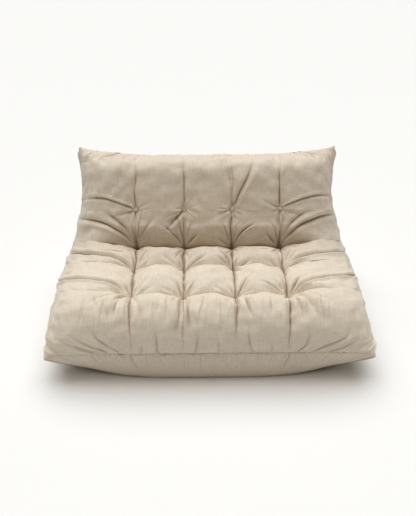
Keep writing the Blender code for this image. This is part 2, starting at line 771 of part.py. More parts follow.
# ---- Zip ---------------------------------------------------------------------------------------------


def zip_line():
    """The middle of the teeth in side view: just inside the rear base seam."""
    seam = form(0, BAND_LIFT)[1][-1]
    middle = seam[len(seam) // 2]
    return middle[1] - ZIP_INSET, middle[2]


def make_zip():
    y, z = zip_line()
    half = ZIP_LENGTH / 2
    tape, nylon, zinc = (material("zip_tape", TAPE), material("zip_nylon", NYLON, 0.5),
                         material("zip_metal", ZINC, 0.35, 0.9))
    deep, flat = ZIP_ROW_THICK / 2, ZIP_TAPE_THICK / 2
    for name, side in (("upper", 1), ("lower", -1)):
        inner = z + side * ZIP_ROW_SPLIT / 2
        outer = inner + side * ZIP_ROW_WIDTH
        low, high = sorted((inner, outer))
        box(f"zip_teeth_{name}", (-half, y - deep, low), (half, y + deep, high), nylon)
        near = outer + side * CORD_GAP
        low, high = sorted((near, near + side * ZIP_TAPE_WIDTH))
        box(f"zip_tape_{name}", (-half, y - flat, low), (half, y + flat, high), tape)
    rows = ZIP_ROW_SPLIT / 2 + ZIP_ROW_WIDTH
    for name, side in (("left", -1), ("right", 1)):
        low, high = sorted((side * (half + CORD_GAP), side * (half + CORD_GAP + STOP_LENGTH)))
        box(f"zip_stop_{name}", (low, y - deep, z - rows), (high, y + deep, z + rows), zinc)
    make_slider(y, z, zinc)


def make_slider(y, z, zinc):
    """The slider: two plates joined by a post between the rows of teeth, with side flanges and a bail."""
    half_thick = ZIP_ROW_THICK / 2 + SLIDER_CLEAR
    start = -ZIP_LENGTH / 2 + CORD_GAP
    end = start + SLIDER_LENGTH
    middle = (start + end) / 2
    half = SLIDER_WIDTH / 2
    bm = bmesh.new()

    def add_box(low, high):
        low, high = Vector(low), Vector(high)
        made = bmesh.ops.create_cube(bm, size=1)["verts"]
        bmesh.ops.scale(bm, verts=made, vec=high - low)
        bmesh.ops.translate(bm, verts=made, vec=(low + high) / 2)

    add_box((start, y + half_thick, z - half), (end, y + half_thick + SLIDER_PLATE, z + half))
    mesh = finish_mesh("zip_slider", bm)
    slider = add_object("zip_slider", mesh, zinc)
    origin = Vector((middle, y, z))
    slider.data.transform(Matrix.Translation(-origin))
    slider.location = origin
    front, back = y + half_thick, y - half_thick
    over = SLIDER_PLATE / 3
    pieces = [
        box("slider_rear_plate", (start, back - SLIDER_PLATE, z - half), (end, back, z + half)),
        box("slider_post", (middle, back - over, z - SLIDER_POST / 2),
            (end - over, front + over, z + SLIDER_POST / 2)),
    ]
    for side in (-1, 1):
        low, high = sorted((z + side * half, z + side * (half - SLIDER_PLATE)))
        pieces.append(box("slider_front_flange", (start, y + ZIP_TAPE_THICK / 2 + SLIDER_CLEAR, low),
                          (end, front + over, high)))
        pieces.append(box("slider_rear_flange", (start, back - over, low),
                          (end, y - ZIP_TAPE_THICK / 2 - SLIDER_CLEAR, high)))
    face = front + SLIDER_PLATE
    for side in (-1, 1):
        low, high = sorted((side * TAB_EYE / 2, side * (TAB_EYE / 2 + BAIL_WALL)))
        pieces.append(box("slider_bail_leg", (middle + low, face - over, z - BAIL_WIDTH / 2),
                          (middle + high, face + BAIL_HEIGHT, z + BAIL_WIDTH / 2)))
    pieces.append(box("slider_bail_bar",
                      (middle - TAB_EYE / 2 - over, face + BAIL_HEIGHT - BAIL_WALL, z - BAIL_WALL / 2),
                      (middle + TAB_EYE / 2 + over, face + BAIL_HEIGHT, z + BAIL_WALL / 2)))
    for piece in pieces:
        cut(slider, as_helper(piece), "UNION")
    make_pull_tab(middle, face + BAIL_HEIGHT - BAIL_WALL / 2, z, zinc)


def make_pull_tab(x, y, z, zinc):
    """The pull tab hangs from the slider's bail and turns on the middle of the bail's bar."""
    eye_gap = BAIL_WALL / 2 + SLIDER_CLEAR
    width = TAB_EYE - 2 * SLIDER_CLEAR
    head = eye_gap + TAB_THICK
    tab = box("zip_pull_tab", (-width / 2, -TAB_THICK / 2, -TAB_LENGTH),
              (width / 2, TAB_THICK / 2, -eye_gap), zinc)
    tab.location = (x, y, z)
    parts = [
        box("tab_blade", (x - TAB_WIDTH / 2, y - TAB_THICK / 2 + TAB_BLADE_STEP, z - TAB_LENGTH),
            (x + TAB_WIDTH / 2, y + TAB_THICK / 2 - TAB_BLADE_STEP, z - TAB_LENGTH / 3)),
        box("tab_front_cheek", (x - width / 2, y + eye_gap, z - head), (x + width / 2, y + head, z + head)),
        box("tab_rear_cheek", (x - width / 2, y - head, z - head), (x + width / 2, y - eye_gap, z + head)),
        box("tab_head", (x - width / 2, y - head, z + eye_gap), (x + width / 2, y + head, z + head)),
        box("tab_neck", (x - width / 2, y - head, z - head), (x + width / 2, y + head, z - eye_gap)),
    ]
    for part in parts:
        cut(tab, as_helper(part), "UNION")


# ---- Build -------------------------------------------------------------------------------------------


def centre_on_floor():
    """Moves every piece so that the middle of the seat's plan is at X 0, Y 0."""
    bpy.context.view_layer.update()
    graph = bpy.context.evaluated_depsgraph_get()
    reach = []
    for piece in bpy.context.scene.objects:
        if piece.type == "MESH" and not piece.hide_render:
            shown = piece.evaluated_get(graph)
            reach += [(shown.matrix_world @ Vector(corner)).y for corner in shown.bound_box]
    shift = -(min(reach) + max(reach)) / 2
    for piece in list(bpy.context.scene.objects):
        piece.location.y += shift


def main():
    for piece in list(bpy.data.objects):
        bpy.data.objects.remove(piece)
    cord_holes = make_buttons_and_cords()
    channels = make_tie_strips()
    make_foam(cord_holes, channels)
    make_wadding(cord_holes)
    make_cover(cord_holes)
    make_underside()
    make_zip()
    centre_on_floor()


main()
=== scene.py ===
"""The looks of a tufted floor lounge seat: a deep-buttoned linen pad that is both the seat and the back.

The cover's quilted face is worked out as cloth: it starts as a smooth padded form with its tufts pulled in,
gets the extra length that flat cloth has over a padded form, and is settled until the extra has gone into
folds.
Everything is in metres: X across the seat, Y from the front to the rear, Z up from the floor.
"""

import math

import bmesh
import bpy
import numpy as np
from mathutils import Matrix, Vector


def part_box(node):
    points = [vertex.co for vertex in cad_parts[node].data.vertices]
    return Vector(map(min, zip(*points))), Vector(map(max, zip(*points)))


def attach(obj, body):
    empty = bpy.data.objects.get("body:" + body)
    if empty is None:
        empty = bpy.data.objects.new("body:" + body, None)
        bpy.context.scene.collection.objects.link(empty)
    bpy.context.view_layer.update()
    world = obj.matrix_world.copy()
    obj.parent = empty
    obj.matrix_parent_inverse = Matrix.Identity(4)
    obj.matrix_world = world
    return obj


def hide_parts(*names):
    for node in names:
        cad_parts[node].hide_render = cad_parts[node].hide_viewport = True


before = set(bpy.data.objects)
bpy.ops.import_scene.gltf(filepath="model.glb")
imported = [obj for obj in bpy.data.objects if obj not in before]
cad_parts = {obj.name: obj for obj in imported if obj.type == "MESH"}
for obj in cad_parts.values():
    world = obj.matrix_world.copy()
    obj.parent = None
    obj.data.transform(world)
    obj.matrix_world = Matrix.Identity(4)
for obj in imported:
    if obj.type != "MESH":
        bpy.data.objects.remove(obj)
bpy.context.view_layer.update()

# ---- Sizes -------------------------------------------------------------------------------------------

ZIP_INSET = 0.0065
ZIP_LENGTH = 0.840
ZIP_OPENING = 0.0135

FRONT_SEAM = (-0.415, 0.135)
FRONT_ROLL = (-0.462, 0.342)
FRONT_ROLL_RADIUS = 0.125
INSIDE_CORNER = (0.085, 0.325)
INSIDE_CORNER_RADIUS = 0.13
TOP_ROLL = (0.180, 0.636)
TOP_ROLL_RADIUS = 0.055
TOP_SEAM = (0.300, 0.622)
FRONT_EAR = (-0.428, 0.122)
REAR_BASE_CORNER = (0.410, 0.135)
REAR_BASE_RADIUS = 0.035
TOP_EAR = (0.298, 0.645)
HALF_WIDTH_AT = ((0.0, 0.616), (0.06, 0.612), (0.20, 0.606), (0.40, 0.600), (0.55, 0.588),
                 (0.68, 0.556), (0.80, 0.521), (0.92, 0.514), (1.0, 0.526))
SHOULDER_POWER = 0.62
EVEN_OVER = 0.08
OUTER_BACK_BULGE = 0.020
FOOT_HALF_WIDTH = 0.520
FOOT_FRONT_Y = -0.380
FOOT_REAR_Y = 0.385
FOOT_SQUARENESS = 4.0
BAND_BULGE = 0.010
BAND_LIFT = 0.003

COLUMN_PITCH = 0.194
COLUMNS = 4
OUTER_COLUMN = COLUMN_PITCH * (COLUMNS - 1) / 2
ROW_NAMES = ("front", "middle", "crease", "back")
ROW_AT = (0.310, 0.525, 0.650, 0.770)
TUFT_DEPTH = (0.078, 0.072, 0.105, 0.022)
ROW_GROOVE = (0.034, 0.036, 0.080, 0.0)
COLUMN_GROOVE_AT = ((0.0, 0.002), (0.15, 0.008), (0.28, 0.026), (0.55, 0.032), (0.64, 0.024),
                    (0.70, 0.013), (0.80, 0.007), (1.05, 0.002))
PAD_POWER = 0.62
BACK_ROW = 3
BUTTON_RADIUS = 0.0095
DIMPLE_REACH = 0.030  # how wide a dimple each button of the back pulls in
BAY_PUFF = (0.006, 0.014, 0.014, 0.009)  # how far the pads of each bay stand proud, from the front
SIDE_FADE = 0.12
ARC_STEPS = 48

GRID_STEP = 0.0047
SEAM_STEPS = (0.0016, 0.0036, 0.0066)
SEAM_DEPTH = 0.0045
SEAM_REACH = 0.008

# ---- Small tools ---------------------------------------------------------------------------------------


def unit(v):
    return v / np.maximum(np.linalg.norm(v, axis=-1, keepdims=True), 1e-12)


def smooth_step(x, low=0.0, high=1.0):
    t = np.clip((x - low) / (high - low), 0, 1)
    return t * t * (3 - 2 * t)


def read_at(knots, values, share):
    values = np.asarray(values)
    if values.ndim == 1:
        return np.interp(share, knots, values)
    return np.stack([np.interp(share, knots, column) for column in values.T], axis=-1)


def lengths_along(points):
    return np.concatenate([[0], np.cumsum(np.linalg.norm(np.diff(points, axis=0), axis=1))])


def smooth_read(table, share):
    places, values = (np.array(column) for column in zip(*table))
    slopes = np.gradient(values, places)
    index = np.clip(np.searchsorted(places, share) - 1, 0, len(places) - 2)
    width = places[index + 1] - places[index]
    t = (share - places[index]) / width
    rise = values[index] * (2 * t**3 - 3 * t**2 + 1) + values[index + 1] * (3 * t**2 - 2 * t**3)
    return rise + (slopes[index] * (t**3 - 2 * t**2 + t) + slopes[index + 1] * (t**3 - t**2)) * width


def blurred(field, rounds):
    """A field over a grid, averaged with its neighbours a number of times."""
    for _ in range(rounds):
        padded = np.pad(field, 1, mode="edge")
        field = (padded[:-2, 1:-1] + padded[2:, 1:-1] + padded[1:-1, :-2] + padded[1:-1, 2:] + 4 * field) / 8
    return field


def cloud(shape, rounds, seed):
    """Smooth random values over a grid, with a spread of 1."""
    field = blurred(np.random.default_rng(seed).standard_normal(shape), rounds)
    return field / field.std()


def grid_normals(points):
    along = np.gradient(points, axis=0)
    across = np.gradient(points, axis=1)
    return unit(np.cross(across, along))


# ---- The form of the pad -------------------------------------------------------------------------------


def rounded_path(corners):
    """Points and outward normals along a path in side view, as (y, z), whose corners are rounded."""
    points = [np.array(corner[:2], float) for corner in corners]
    found, ways = [points[0]], [unit(points[1] - points[0])]
    for before, here, after, corner in zip(points, points[1:], points[2:], corners[1:]):
        back, on = unit(before - here), unit(after - here)
        half = math.acos(np.clip(back @ on, -1, 1)) / 2
        radius = corner[2]
        centre = here + unit(back + on) * radius / math.sin(half)
        start = math.atan2(*(here + back * radius / math.tan(half) - centre)[::-1])
        end = math.atan2(*(here + on * radius / math.tan(half) - centre)[::-1])
        turn = (end - start + math.pi) % math.tau - math.pi
        for angle in start + turn * np.linspace(0, 1, ARC_STEPS + 1):
            spoke = np.array([math.cos(angle), math.sin(angle)])
            found.append(centre + spoke * radius)
            ways.append(np.array([-spoke[1], spoke[0]]) * math.copysign(1, turn))
    found.append(points[-1])
    ways.append(unit(points[-1] - points[-2]))
    ways = np.array(ways)
    return np.array(found), np.stack([-ways[:, 1], ways[:, 0]], axis=1)


CREST_POINTS, CREST_NORMALS = rounded_path(((*FRONT_SEAM, 0), (*FRONT_ROLL, FRONT_ROLL_RADIUS),
                                            (*INSIDE_CORNER, INSIDE_CORNER_RADIUS),
                                            (*TOP_ROLL, TOP_ROLL_RADIUS), (*TOP_SEAM, 0)))
CREST_KNOTS = lengths_along(CREST_POINTS)
CREST_LENGTH = CREST_KNOTS[-1]
CREST_EASE = 0.016  # how far along the crest its bends ease in
SIDE_POINTS = rounded_path(((*FRONT_EAR, 0), (*REAR_BASE_CORNER, REAR_BASE_RADIUS), (*TOP_EAR, 0)))[0]
CORNER_SHARE = ROW_AT[2] / CREST_LENGTH


EASE_STEPS, EASE_REACH = 1200, 40  # steps along the crest, and how many of them a bend is eased over


def eased(values):
    """The crest's points or normals, read evenly along it with every bend eased in."""
    even = np.linspace(0, CREST_LENGTH, EASE_STEPS + 1)
    read = read_at(CREST_KNOTS, values, even)
    reach = np.arange(-EASE_REACH, EASE_REACH + 1)
    weights = np.exp(-((reach * CREST_LENGTH / EASE_STEPS / CREST_EASE) ** 2))
    before, after = read[EASE_REACH:0:-1], read[-2:-EASE_REACH - 2:-1]
    padded = np.concatenate([2 * read[:1] - before, read, 2 * read[-1:] - after])
    weights = weights / weights.sum()
    return np.stack([np.convolve(column, weights, mode="valid") for column in padded.T], axis=1)


EASED_POINTS, EASED_NORMALS = eased(CREST_POINTS), eased(CREST_NORMALS)


def crest(share):
    knots = np.linspace(0, 1, len(EASED_POINTS))
    return read_at(knots, EASED_POINTS, share), unit(read_at(knots, EASED_NORMALS, share))


def side_seam(share):
    at = lengths_along(SIDE_POINTS)
    corner = at[1 + ARC_STEPS // 2]
    beyond = CORNER_SHARE + (at - corner) / (at[-1] - corner) * (1 - CORNER_SHARE)
    return read_at(np.where(at <= corner, at / corner * CORNER_SHARE, beyond), SIDE_POINTS, share)


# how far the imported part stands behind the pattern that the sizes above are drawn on
ZIP_MIDDLE_Y = sum(corner.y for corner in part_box("zip_teeth_upper")) / 2
MIDDLE_Y = ZIP_MIDDLE_Y + ZIP_INSET - SIDE_POINTS[1 + ARC_STEPS // 2][0]


def pillow(distance, half):
    """0 in a groove, rising to 1 in the middle of a pad."""
    return np.sin(np.pi / 2 * np.clip(distance / half, 0, 1)) ** PAD_POWER


def tuft_depth(x, share, fullness):
    """How far the tufting pulls the surface in below the crest."""
    along = share * CREST_LENGTH
    side = np.abs(x)
    nearest = np.abs((x / COLUMN_PITCH + COLUMNS / 2) % 1 - 0.5) * COLUMN_PITCH
    past = np.clip(side - OUTER_COLUMN, 0, None)
    off_column = np.where(side > OUTER_COLUMN, past, nearest)
    column_pad = pillow(off_column, COLUMN_PITCH / 2)
    column_floor = np.interp(along, *zip(*COLUMN_GROOVE_AT)) * fullness
    column_round = np.sin(np.pi / 2 * np.clip(off_column / (COLUMN_PITCH / 2), 0, 1))
    depth = column_floor * (1 - column_pad)
    fade = np.exp(-((past / SIDE_FADE) ** 2))
    edges = np.concatenate([[0], ROW_AT, [CREST_LENGTH]])
    for row, at in enumerate(ROW_AT):
        gap = np.where(along < at, at - edges[row], edges[row + 2] - at)
        row_pad = pillow(np.abs(along - at), np.minimum(gap, COLUMN_PITCH) / 2)
        groove = ROW_GROOVE[row] * fade * fullness
        knot = np.clip(TUFT_DEPTH[row] - groove - column_floor, 0, None)
        pinched = (1 - row_pad) * (1 - column_pad)
        if row == BACK_ROW:
            pinched = np.exp(-np.hypot(off_column, along - at) / DIMPLE_REACH)
        depth = depth + groove * (1 - row_pad) + knot * pinched
    marks = np.delete(edges, BACK_ROW + 1)  # the pads of the back run on past its buttons
    bays = np.clip(np.searchsorted(marks, along, side="right") - 1, 0, len(marks) - 2)
    bay = (along - marks[bays]) / (marks[bays + 1] - marks[bays])
    puff = np.array(BAY_PUFF)[bays] * np.sin(np.pi * np.clip(bay, 0, 1)) ** 0.8
    return depth - puff * fullness * column_round * np.where(side > OUTER_COLUMN, fade, 1)


def pad_surface(share, u, tufted=True, fullness=1.0):
    """The quilted face: share runs along the crest, u across from -1, the left side seam, to 1."""
    centre, normal = crest(share)
    seam = side_seam(share)
    half_width = smooth_read(HALF_WIDTH_AT, share)
    past = np.clip(2 * np.abs(u) - 1, 0, 1)
    even = np.arcsin(past ** (1 / SHOULDER_POWER))
    mix = np.clip(np.minimum(share, 1 - share) / EVEN_OVER, 0, 1)
    turn = past * np.pi / 2 * mix + even * (1 - mix)
    out = np.sin(turn) ** SHOULDER_POWER
    down = (1 - np.clip(np.cos(turn), 0, 1) ** SHOULDER_POWER)[..., None]
    beyond = OUTER_COLUMN + (half_width - OUTER_COLUMN) * out
    x = np.where(np.abs(u) <= 0.5, 2 * np.abs(u) * OUTER_COLUMN, beyond)
    profile = centre + (seam - centre) * down
    if tufted:
        ends = smooth_step(np.minimum(share, 1 - share), 0, 0.05)
        profile = profile - normal * (tuft_depth(x, share, fullness) * ends)[..., None] * (1 - down)
    return np.stack([np.sign(u) * x, profile[..., 0] + MIDDLE_Y, profile[..., 1]], axis=-1)


def stations(marks, step, ends):
    """Distances from the first mark to the last, close together beside every mark and even between."""
    ends = np.array(ends)
    found = []
    for start, end in zip(marks, marks[1:]):
        count = max(2, round((end - start - 2 * ends[-1]) / step))
        middle = np.linspace(start + ends[-1], end - ends[-1], count + 1)
        found += [[start], start + ends[:-1], middle, end - ends[:-1][::-1]]
    return np.concatenate([*found, [marks[-1]]])


def column_places():
    return COLUMN_PITCH * (np.arange(COLUMNS) - (COLUMNS - 1) / 2)


def across_stations():
    fine = np.linspace(-1, 1, 4001)
    line = pad_surface(np.full(fine.shape, 0.34), fine, tufted=False)
    at = lengths_along(line)
    marks = [0, *(at[-1] / 2 + column_places()), at[-1]]
    return np.interp(stations(marks, GRID_STEP, SEAM_STEPS), at, fine)


def along_stations():
    """Shares of the crest; one of them is where the side seams turn up the rear corners."""
    found = stations([0, *ROW_AT, CREST_LENGTH], GRID_STEP * 0.9, SEAM_STEPS) / CREST_LENGTH
    return found, int(np.argmin(np.abs(found - CORNER_SHARE)))


# ---- Cloth ---------------------------------------------------------------------------------------------


class Cloth:
    """A piece of cloth as a grid of points, settled over its filling.

    It keeps the lengths of its threads, both ways, hardly resists being sheared or bent, and is pressed
    towards the filling's surface. Held points stay where they are.
    """

    def __init__(self, points, target, held, across, along, foam=0.05, drift=0.004, bend=0.12, shear=0.25):
        self.points, self.target, self.normals = points.copy(), target, grid_normals(target)
        self.free = np.where(held, 0.0, 1.0)[..., None]
        self.across, self.along = across[..., None], along[..., None]
        self.foam, self.drift, self.bend, self.shear = foam, drift, bend, shear
        now_across, now_along = thread_lengths(target)
        grown = ((across / now_across)[:-1] + (along / now_along)[:, :-1]) / 2
        self.falling = (np.linalg.norm(target[1:, 1:] - target[:-1, :-1], axis=-1) * grown)[..., None]
        self.rising = (np.linalg.norm(target[1:, :-1] - target[:-1, 1:], axis=-1) * grown)[..., None]

    def draw(self, a, b, rest, stiffness):
        """Moves two sets of points, given as slices, towards their rest distance."""
        way = self.points[b] - self.points[a]
        length = np.sqrt((way * way).sum(axis=-1, keepdims=True))
        free_a, free_b = self.free[a], self.free[b]
        pull = way * (stiffness * (1 - rest / np.maximum(length, 1e-9)) / np.maximum(free_a + free_b, 1e-9))
        self.points[a] += pull * free_a
        self.points[b] -= pull * free_b

    def keep_threads(self):
        rows, columns = self.points.shape[:2]
        every = slice(None)
        for start in (0, 1):
            a, b = slice(start, columns - 1, 2), slice(start + 1, columns, 2)
            self.draw((every, a), (every, b), self.across[:, a], 1.0)
            a, b = slice(start, rows - 1, 2), slice(start + 1, rows, 2)
            self.draw((a, every), (b, every), self.along[a], 1.0)
            left, right = slice(0, columns - 1), slice(1, columns)
            self.draw((a, left), (b, right), self.falling[a], self.shear)
            self.draw((a, right), (b, left), self.rising[a], self.shear)

    def settle(self, rounds):
        before = self.points.copy()
        for _ in range(rounds):
            moving = (self.points - before) * 0.85
            before = self.points.copy()
            self.points += moving * self.free
            stray = self.points - self.target
            off = (stray * self.normals).sum(axis=-1, keepdims=True) * self.normals
            padded = np.pad(stray, ((1, 1), (1, 1), (0, 0)), mode="edge")
            near = (padded[:-2, 1:-1] + padded[2:, 1:-1] + padded[1:-1, :-2] + padded[1:-1, 2:]) / 4
            pull = (near - stray) * self.bend - off * self.foam - (stray - off) * self.drift
            self.points += pull * self.free
            self.keep_threads()
        return self.points


def thread_lengths(points):
    across = np.linalg.norm(np.diff(points, axis=1), axis=-1)
    along = np.linalg.norm(np.diff(points, axis=0), axis=-1)
    return across, along


# ---- Folds ---------------------------------------------------------------------------------------------

# Folds that run out of the tufts: row, column, the way they set off in degrees (0 to the right, 90 up the
# seat and the back), how much they turn on the way, length, depth, and width.
TUFT_FOLDS = (
    # the front row: long folds out to the sides, pleats down the front
    (0, 0, 150, 46, 0.52, 0.0090, 0.008), (0, 0, 176, 20, 0.22, 0.0050, 0.009),
    (0, 0, 200, 25, 0.20, 0.0045, 0.010), (0, 0, 128, 20, 0.12, 0.0040, 0.008),
    (0, 0, 268, 4, 0.27, 0.0060, 0.010), (0, 0, 236, 24, 0.22, 0.0045, 0.010),
    (0, 0, 292, -20, 0.16, 0.0035, 0.008), (0, 0, 50, 10, 0.09, 0.0040, 0.007),
    (0, 1, 262, 6, 0.27, 0.0070, 0.008), (0, 1, 280, -10, 0.26, 0.0060, 0.009),
    (0, 1, 240, 14, 0.12, 0.0035, 0.007), (0, 1, 120, 10, 0.09, 0.0045, 0.007),
    (0, 1, 58, -10, 0.09, 0.0040, 0.007), (0, 1, 20, 0, 0.07, 0.0035, 0.006),
    (0, 2, 270, -4, 0.27, 0.0060, 0.009), (0, 2, 300, -24, 0.20, 0.0045, 0.009),
    (0, 2, 246, 18, 0.15, 0.0035, 0.008), (0, 2, 62, 10, 0.10, 0.0055, 0.007),
    (0, 2, 118, 0, 0.08, 0.0035, 0.006), (0, 3, 270, 0, 0.27, 0.0070, 0.009),
    (0, 3, 292, -14, 0.20, 0.0050, 0.009), (0, 3, 32, -44, 0.52, 0.0090, 0.008),
    (0, 3, 8, -20, 0.24, 0.0060, 0.009), (0, 3, 342, -30, 0.22, 0.0045, 0.010),
    (0, 3, 96, 4, 0.12, 0.0060, 0.008), (0, 3, 60, -14, 0.12, 0.0045, 0.008),
    (0, 3, 314, -22, 0.20, 0.0045, 0.009),
    # the middle row
    (1, 0, 158, 30, 0.47, 0.0080, 0.008), (1, 0, 182, 14, 0.20, 0.0050, 0.009),
    (1, 0, 132, 20, 0.10, 0.0035, 0.007), (1, 0, 214, -18, 0.14, 0.0045, 0.009),
    (1, 1, 118, 0, 0.06, 0.0035, 0.006), (1, 1, 244, 8, 0.09, 0.0045, 0.007),
    (1, 1, 300, -6, 0.08, 0.0035, 0.006), (1, 2, 60, 0, 0.06, 0.0035, 0.006),
    (1, 2, 240, 8, 0.08, 0.0035, 0.007), (1, 2, 292, -6, 0.10, 0.0050, 0.007),
    (1, 3, 22, -30, 0.47, 0.0080, 0.008), (1, 3, 0, -16, 0.22, 0.0055, 0.009),
    (1, 3, 50, -20, 0.10, 0.0040, 0.007), (1, 3, 274, -2, 0.12, 0.0065, 0.008),
    (1, 3, 326, 18, 0.14, 0.0040, 0.009),
    # the crease
    (2, 0, 150, 34, 0.42, 0.0085, 0.009), (2, 0, 130, 34, 0.24, 0.0065, 0.009),
    (2, 0, 176, 16, 0.20, 0.0050, 0.009), (2, 0, 108, 16, 0.09, 0.0035, 0.007),
    (2, 3, 34, -38, 0.42, 0.0085, 0.009), (2, 3, 54, -40, 0.24, 0.0060, 0.009),
    (2, 3, 8, -18, 0.20, 0.0050, 0.009), (2, 1, 84, 6, 0.10, 0.0035, 0.007),
    (2, 2, 96, -4, 0.11, 0.0040, 0.007), (2, 0, 50, -6, 0.13, 0.0050, 0.008),
    (2, 2, 60, 0, 0.06, 0.0030, 0.006),
    # the back row: grooves up to the top seam and out to the sides
    (3, 0, 156, 34, 0.40, 0.0065, 0.006), (3, 0, 92, -4, 0.20, 0.0035, 0.010),
    (3, 0, 268, 4, 0.10, 0.0040, 0.008), (3, 1, 232, -6, 0.14, 0.0060, 0.008),
    (3, 1, 224, -4, 0.10, 0.0040, 0.006), (3, 1, 91, 0, 0.26, 0.0035, 0.010),
    (3, 2, 64, 6, 0.26, 0.0075, 0.010), (3, 2, 96, -4, 0.24, 0.0040, 0.010),
    (3, 2, 268, 2, 0.11, 0.0040, 0.008), (3, 2, 196, 14, 0.09, 0.0030, 0.007),
    (3, 3, 92, 0, 0.25, 0.0040, 0.010), (3, 3, 26, -36, 0.40, 0.0065, 0.006),
    (3, 3, 262, 6, 0.11, 0.0045, 0.008), (3, 3, 148, 8, 0.10, 0.0030, 0.007),
    (3, 0, 200, -20, 0.16, 0.0035, 0.009), (3, 3, 344, 14, 0.16, 0.0035, 0.009),
)

# Pleats and puckers that run in from a seam: how far across, how far along the crest, the way, turn, length,
# depth and width.
SEAM_FOLDS = (
    (-0.19, 0.0, 91, 3, 0.14, 0.0050, 0.008), (-0.055, 0.0, 86, -6, 0.13, 0.0045, 0.008),
    (0.035, 0.0, 92, 4, 0.12, 0.0035, 0.007), (0.155, 0.0, 96, 6, 0.14, 0.0045, 0.008),
    (0.225, 0.0, 88, -4, 0.10, 0.0030, 0.007), (0.365, 0.0, 92, 2, 0.14, 0.0045, 0.009),
    (-0.37, 0.0, 112, 14, 0.17, 0.0050, 0.010), (-0.44, 0.0, 118, 12, 0.13, 0.0040, 0.009),
    (0.45, 0.0, 66, -14, 0.15, 0.0045, 0.009), (-0.50, 0.0, 128, 6, 0.09, 0.0030, 0.008),
    (0.52, 0.0, 56, -6, 0.10, 0.0035, 0.008), (-0.25, 0.0, 94, 2, 0.08, 0.0030, 0.007),
    (-0.02, 1.066, 268, 4, 0.06, 0.0035, 0.007), (0.02, 1.066, 272, 2, 0.10, 0.0040, 0.008),
    (0.06, 1.066, 262, 4, 0.07, 0.0030, 0.007), (-0.16, 1.066, 272, 0, 0.05, 0.0025, 0.007),
    (0.42, 1.066, 296, 16, 0.12, 0.0045, 0.009), (0.47, 1.066, 304, 12, 0.10, 0.0040, 0.008),
    (-0.44, 1.066, 244, -14, 0.12, 0.0040, 0.009), (0.20, 1.066, 268, -6, 0.06, 0.0025, 0.007),
)


def fold_line(start, way, turn, length):
    """Points along a fold that sets off one way and turns evenly."""
    steps = 9
    angles = np.radians(way + turn * (np.arange(steps) + 0.5) / steps)
    moves = np.stack([np.cos(angles), np.sin(angles)], axis=1) * length / steps
    return np.concatenate([[start], start + np.cumsum(moves, axis=0)])


def fold_depth(everywhere, line, depth, width, side):
    """How deep a fold is at each place: a valley along the line, with a ridge on one side of it."""
    reach = 8 * width
    near = ((everywhere > line.min(axis=0) - reach) & (everywhere < line.max(axis=0) + reach)).all(axis=-1)
    place = everywhere[near]
    best = np.full(place.shape[:-1], 1.0)
    signed = np.zeros(place.shape[:-1])
    run = np.zeros(place.shape[:-1])
    at = lengths_along(line)
    for index, (a, b) in enumerate(zip(line, line[1:])):
        way = b - a
        size = np.linalg.norm(way)
        way = way / size
        offset = place - a
        t = np.clip(offset @ way, 0, size)
        foot = offset - t[..., None] * way
        distance = np.sqrt((foot**2).sum(axis=-1))
        closer = distance < best
        best = np.where(closer, distance, best)
        signed = np.where(closer, foot @ np.array([-way[1], way[0]]), signed)
        run = np.where(closer, (at[index] + t) / at[-1], run)
    spread = width * (0.65 + 0.9 * run)
    strength = depth * smooth_step(1 - run, 0, 0.55) * (0.35 + 0.65 * smooth_step(run, 0, 0.12))
    valley = np.exp(-best / (0.62 * spread))
    ridge = np.exp(-(((signed * side - 1.7 * spread) / (1.1 * spread)) ** 2)) * (best < 5 * spread)
    far_ridge = np.exp(-(((signed * side + 1.9 * spread) / (1.2 * spread)) ** 2)) * (best < 5 * spread)
    found = np.zeros(near.shape)
    found[near] = strength * (valley - 0.50 * ridge - 0.22 * far_ridge)
    return found


def all_folds(place):
    """The depth of every fold over the quilted face. Place is how far across and along each point is."""
    depth = np.zeros(place.shape[:-1])
    side = 1
    for row, column, way, turn, length, deep, width in TUFT_FOLDS:
        start = np.array([COLUMN_PITCH * (column - (COLUMNS - 1) / 2), ROW_AT[row]])
        depth += fold_depth(place, fold_line(start, way, turn, length), deep, width, side)
        side = -side
    for x, along, way, turn, length, deep, width in SEAM_FOLDS + small_folds():
        depth += fold_depth(place, fold_line(np.array([x, along]), way, turn, length), deep, width, side)
        side = -side
    return depth * FOLD_STRENGTH


FOLD_STRENGTH = 1.7


def small_folds():
    """The small folds that gather at every tuft, and the fine pleats down the front roll."""
    rng = np.random.default_rng(71)
    found = []
    for row, at in enumerate(ROW_AT):
        for column in range(COLUMNS):
            x = COLUMN_PITCH * (column - (COLUMNS - 1) / 2)
            for way in np.arange(0, 360, 45) + rng.uniform(8, 37, 8):
                size = rng.uniform(0.05, 0.125) * (0.7 if row == BACK_ROW else 1)
                deep = rng.uniform(0.0030, 0.0095) * (0.35 if row == BACK_ROW else 1)
                found.append((x, at, way, rng.uniform(-16, 16), size, deep, rng.uniform(0.0035, 0.0058)))
    for x in np.arange(-0.46, 0.47, 0.031):
        start = ROW_AT[0] - rng.uniform(0.035, 0.10)
        found.append((x + rng.uniform(-0.010, 0.010), start, 270 + rng.uniform(-8, 8), rng.uniform(-8, 8),
                      rng.uniform(0.07, 0.16), rng.uniform(0.0014, 0.0042), rng.uniform(0.004, 0.007)))
    for x in np.arange(-0.40, 0.41, 0.055):
        found.append((x + rng.uniform(-0.02, 0.02), CREST_LENGTH - rng.uniform(0.0, 0.05),
                      270 + rng.uniform(-14, 14), rng.uniform(-8, 8), rng.uniform(0.05, 0.10),
                      rng.uniform(0.0006, 0.0016), 0.006))
    return tuple(found)


# ---- Cover pieces --------------------------------------------------------------------------------------


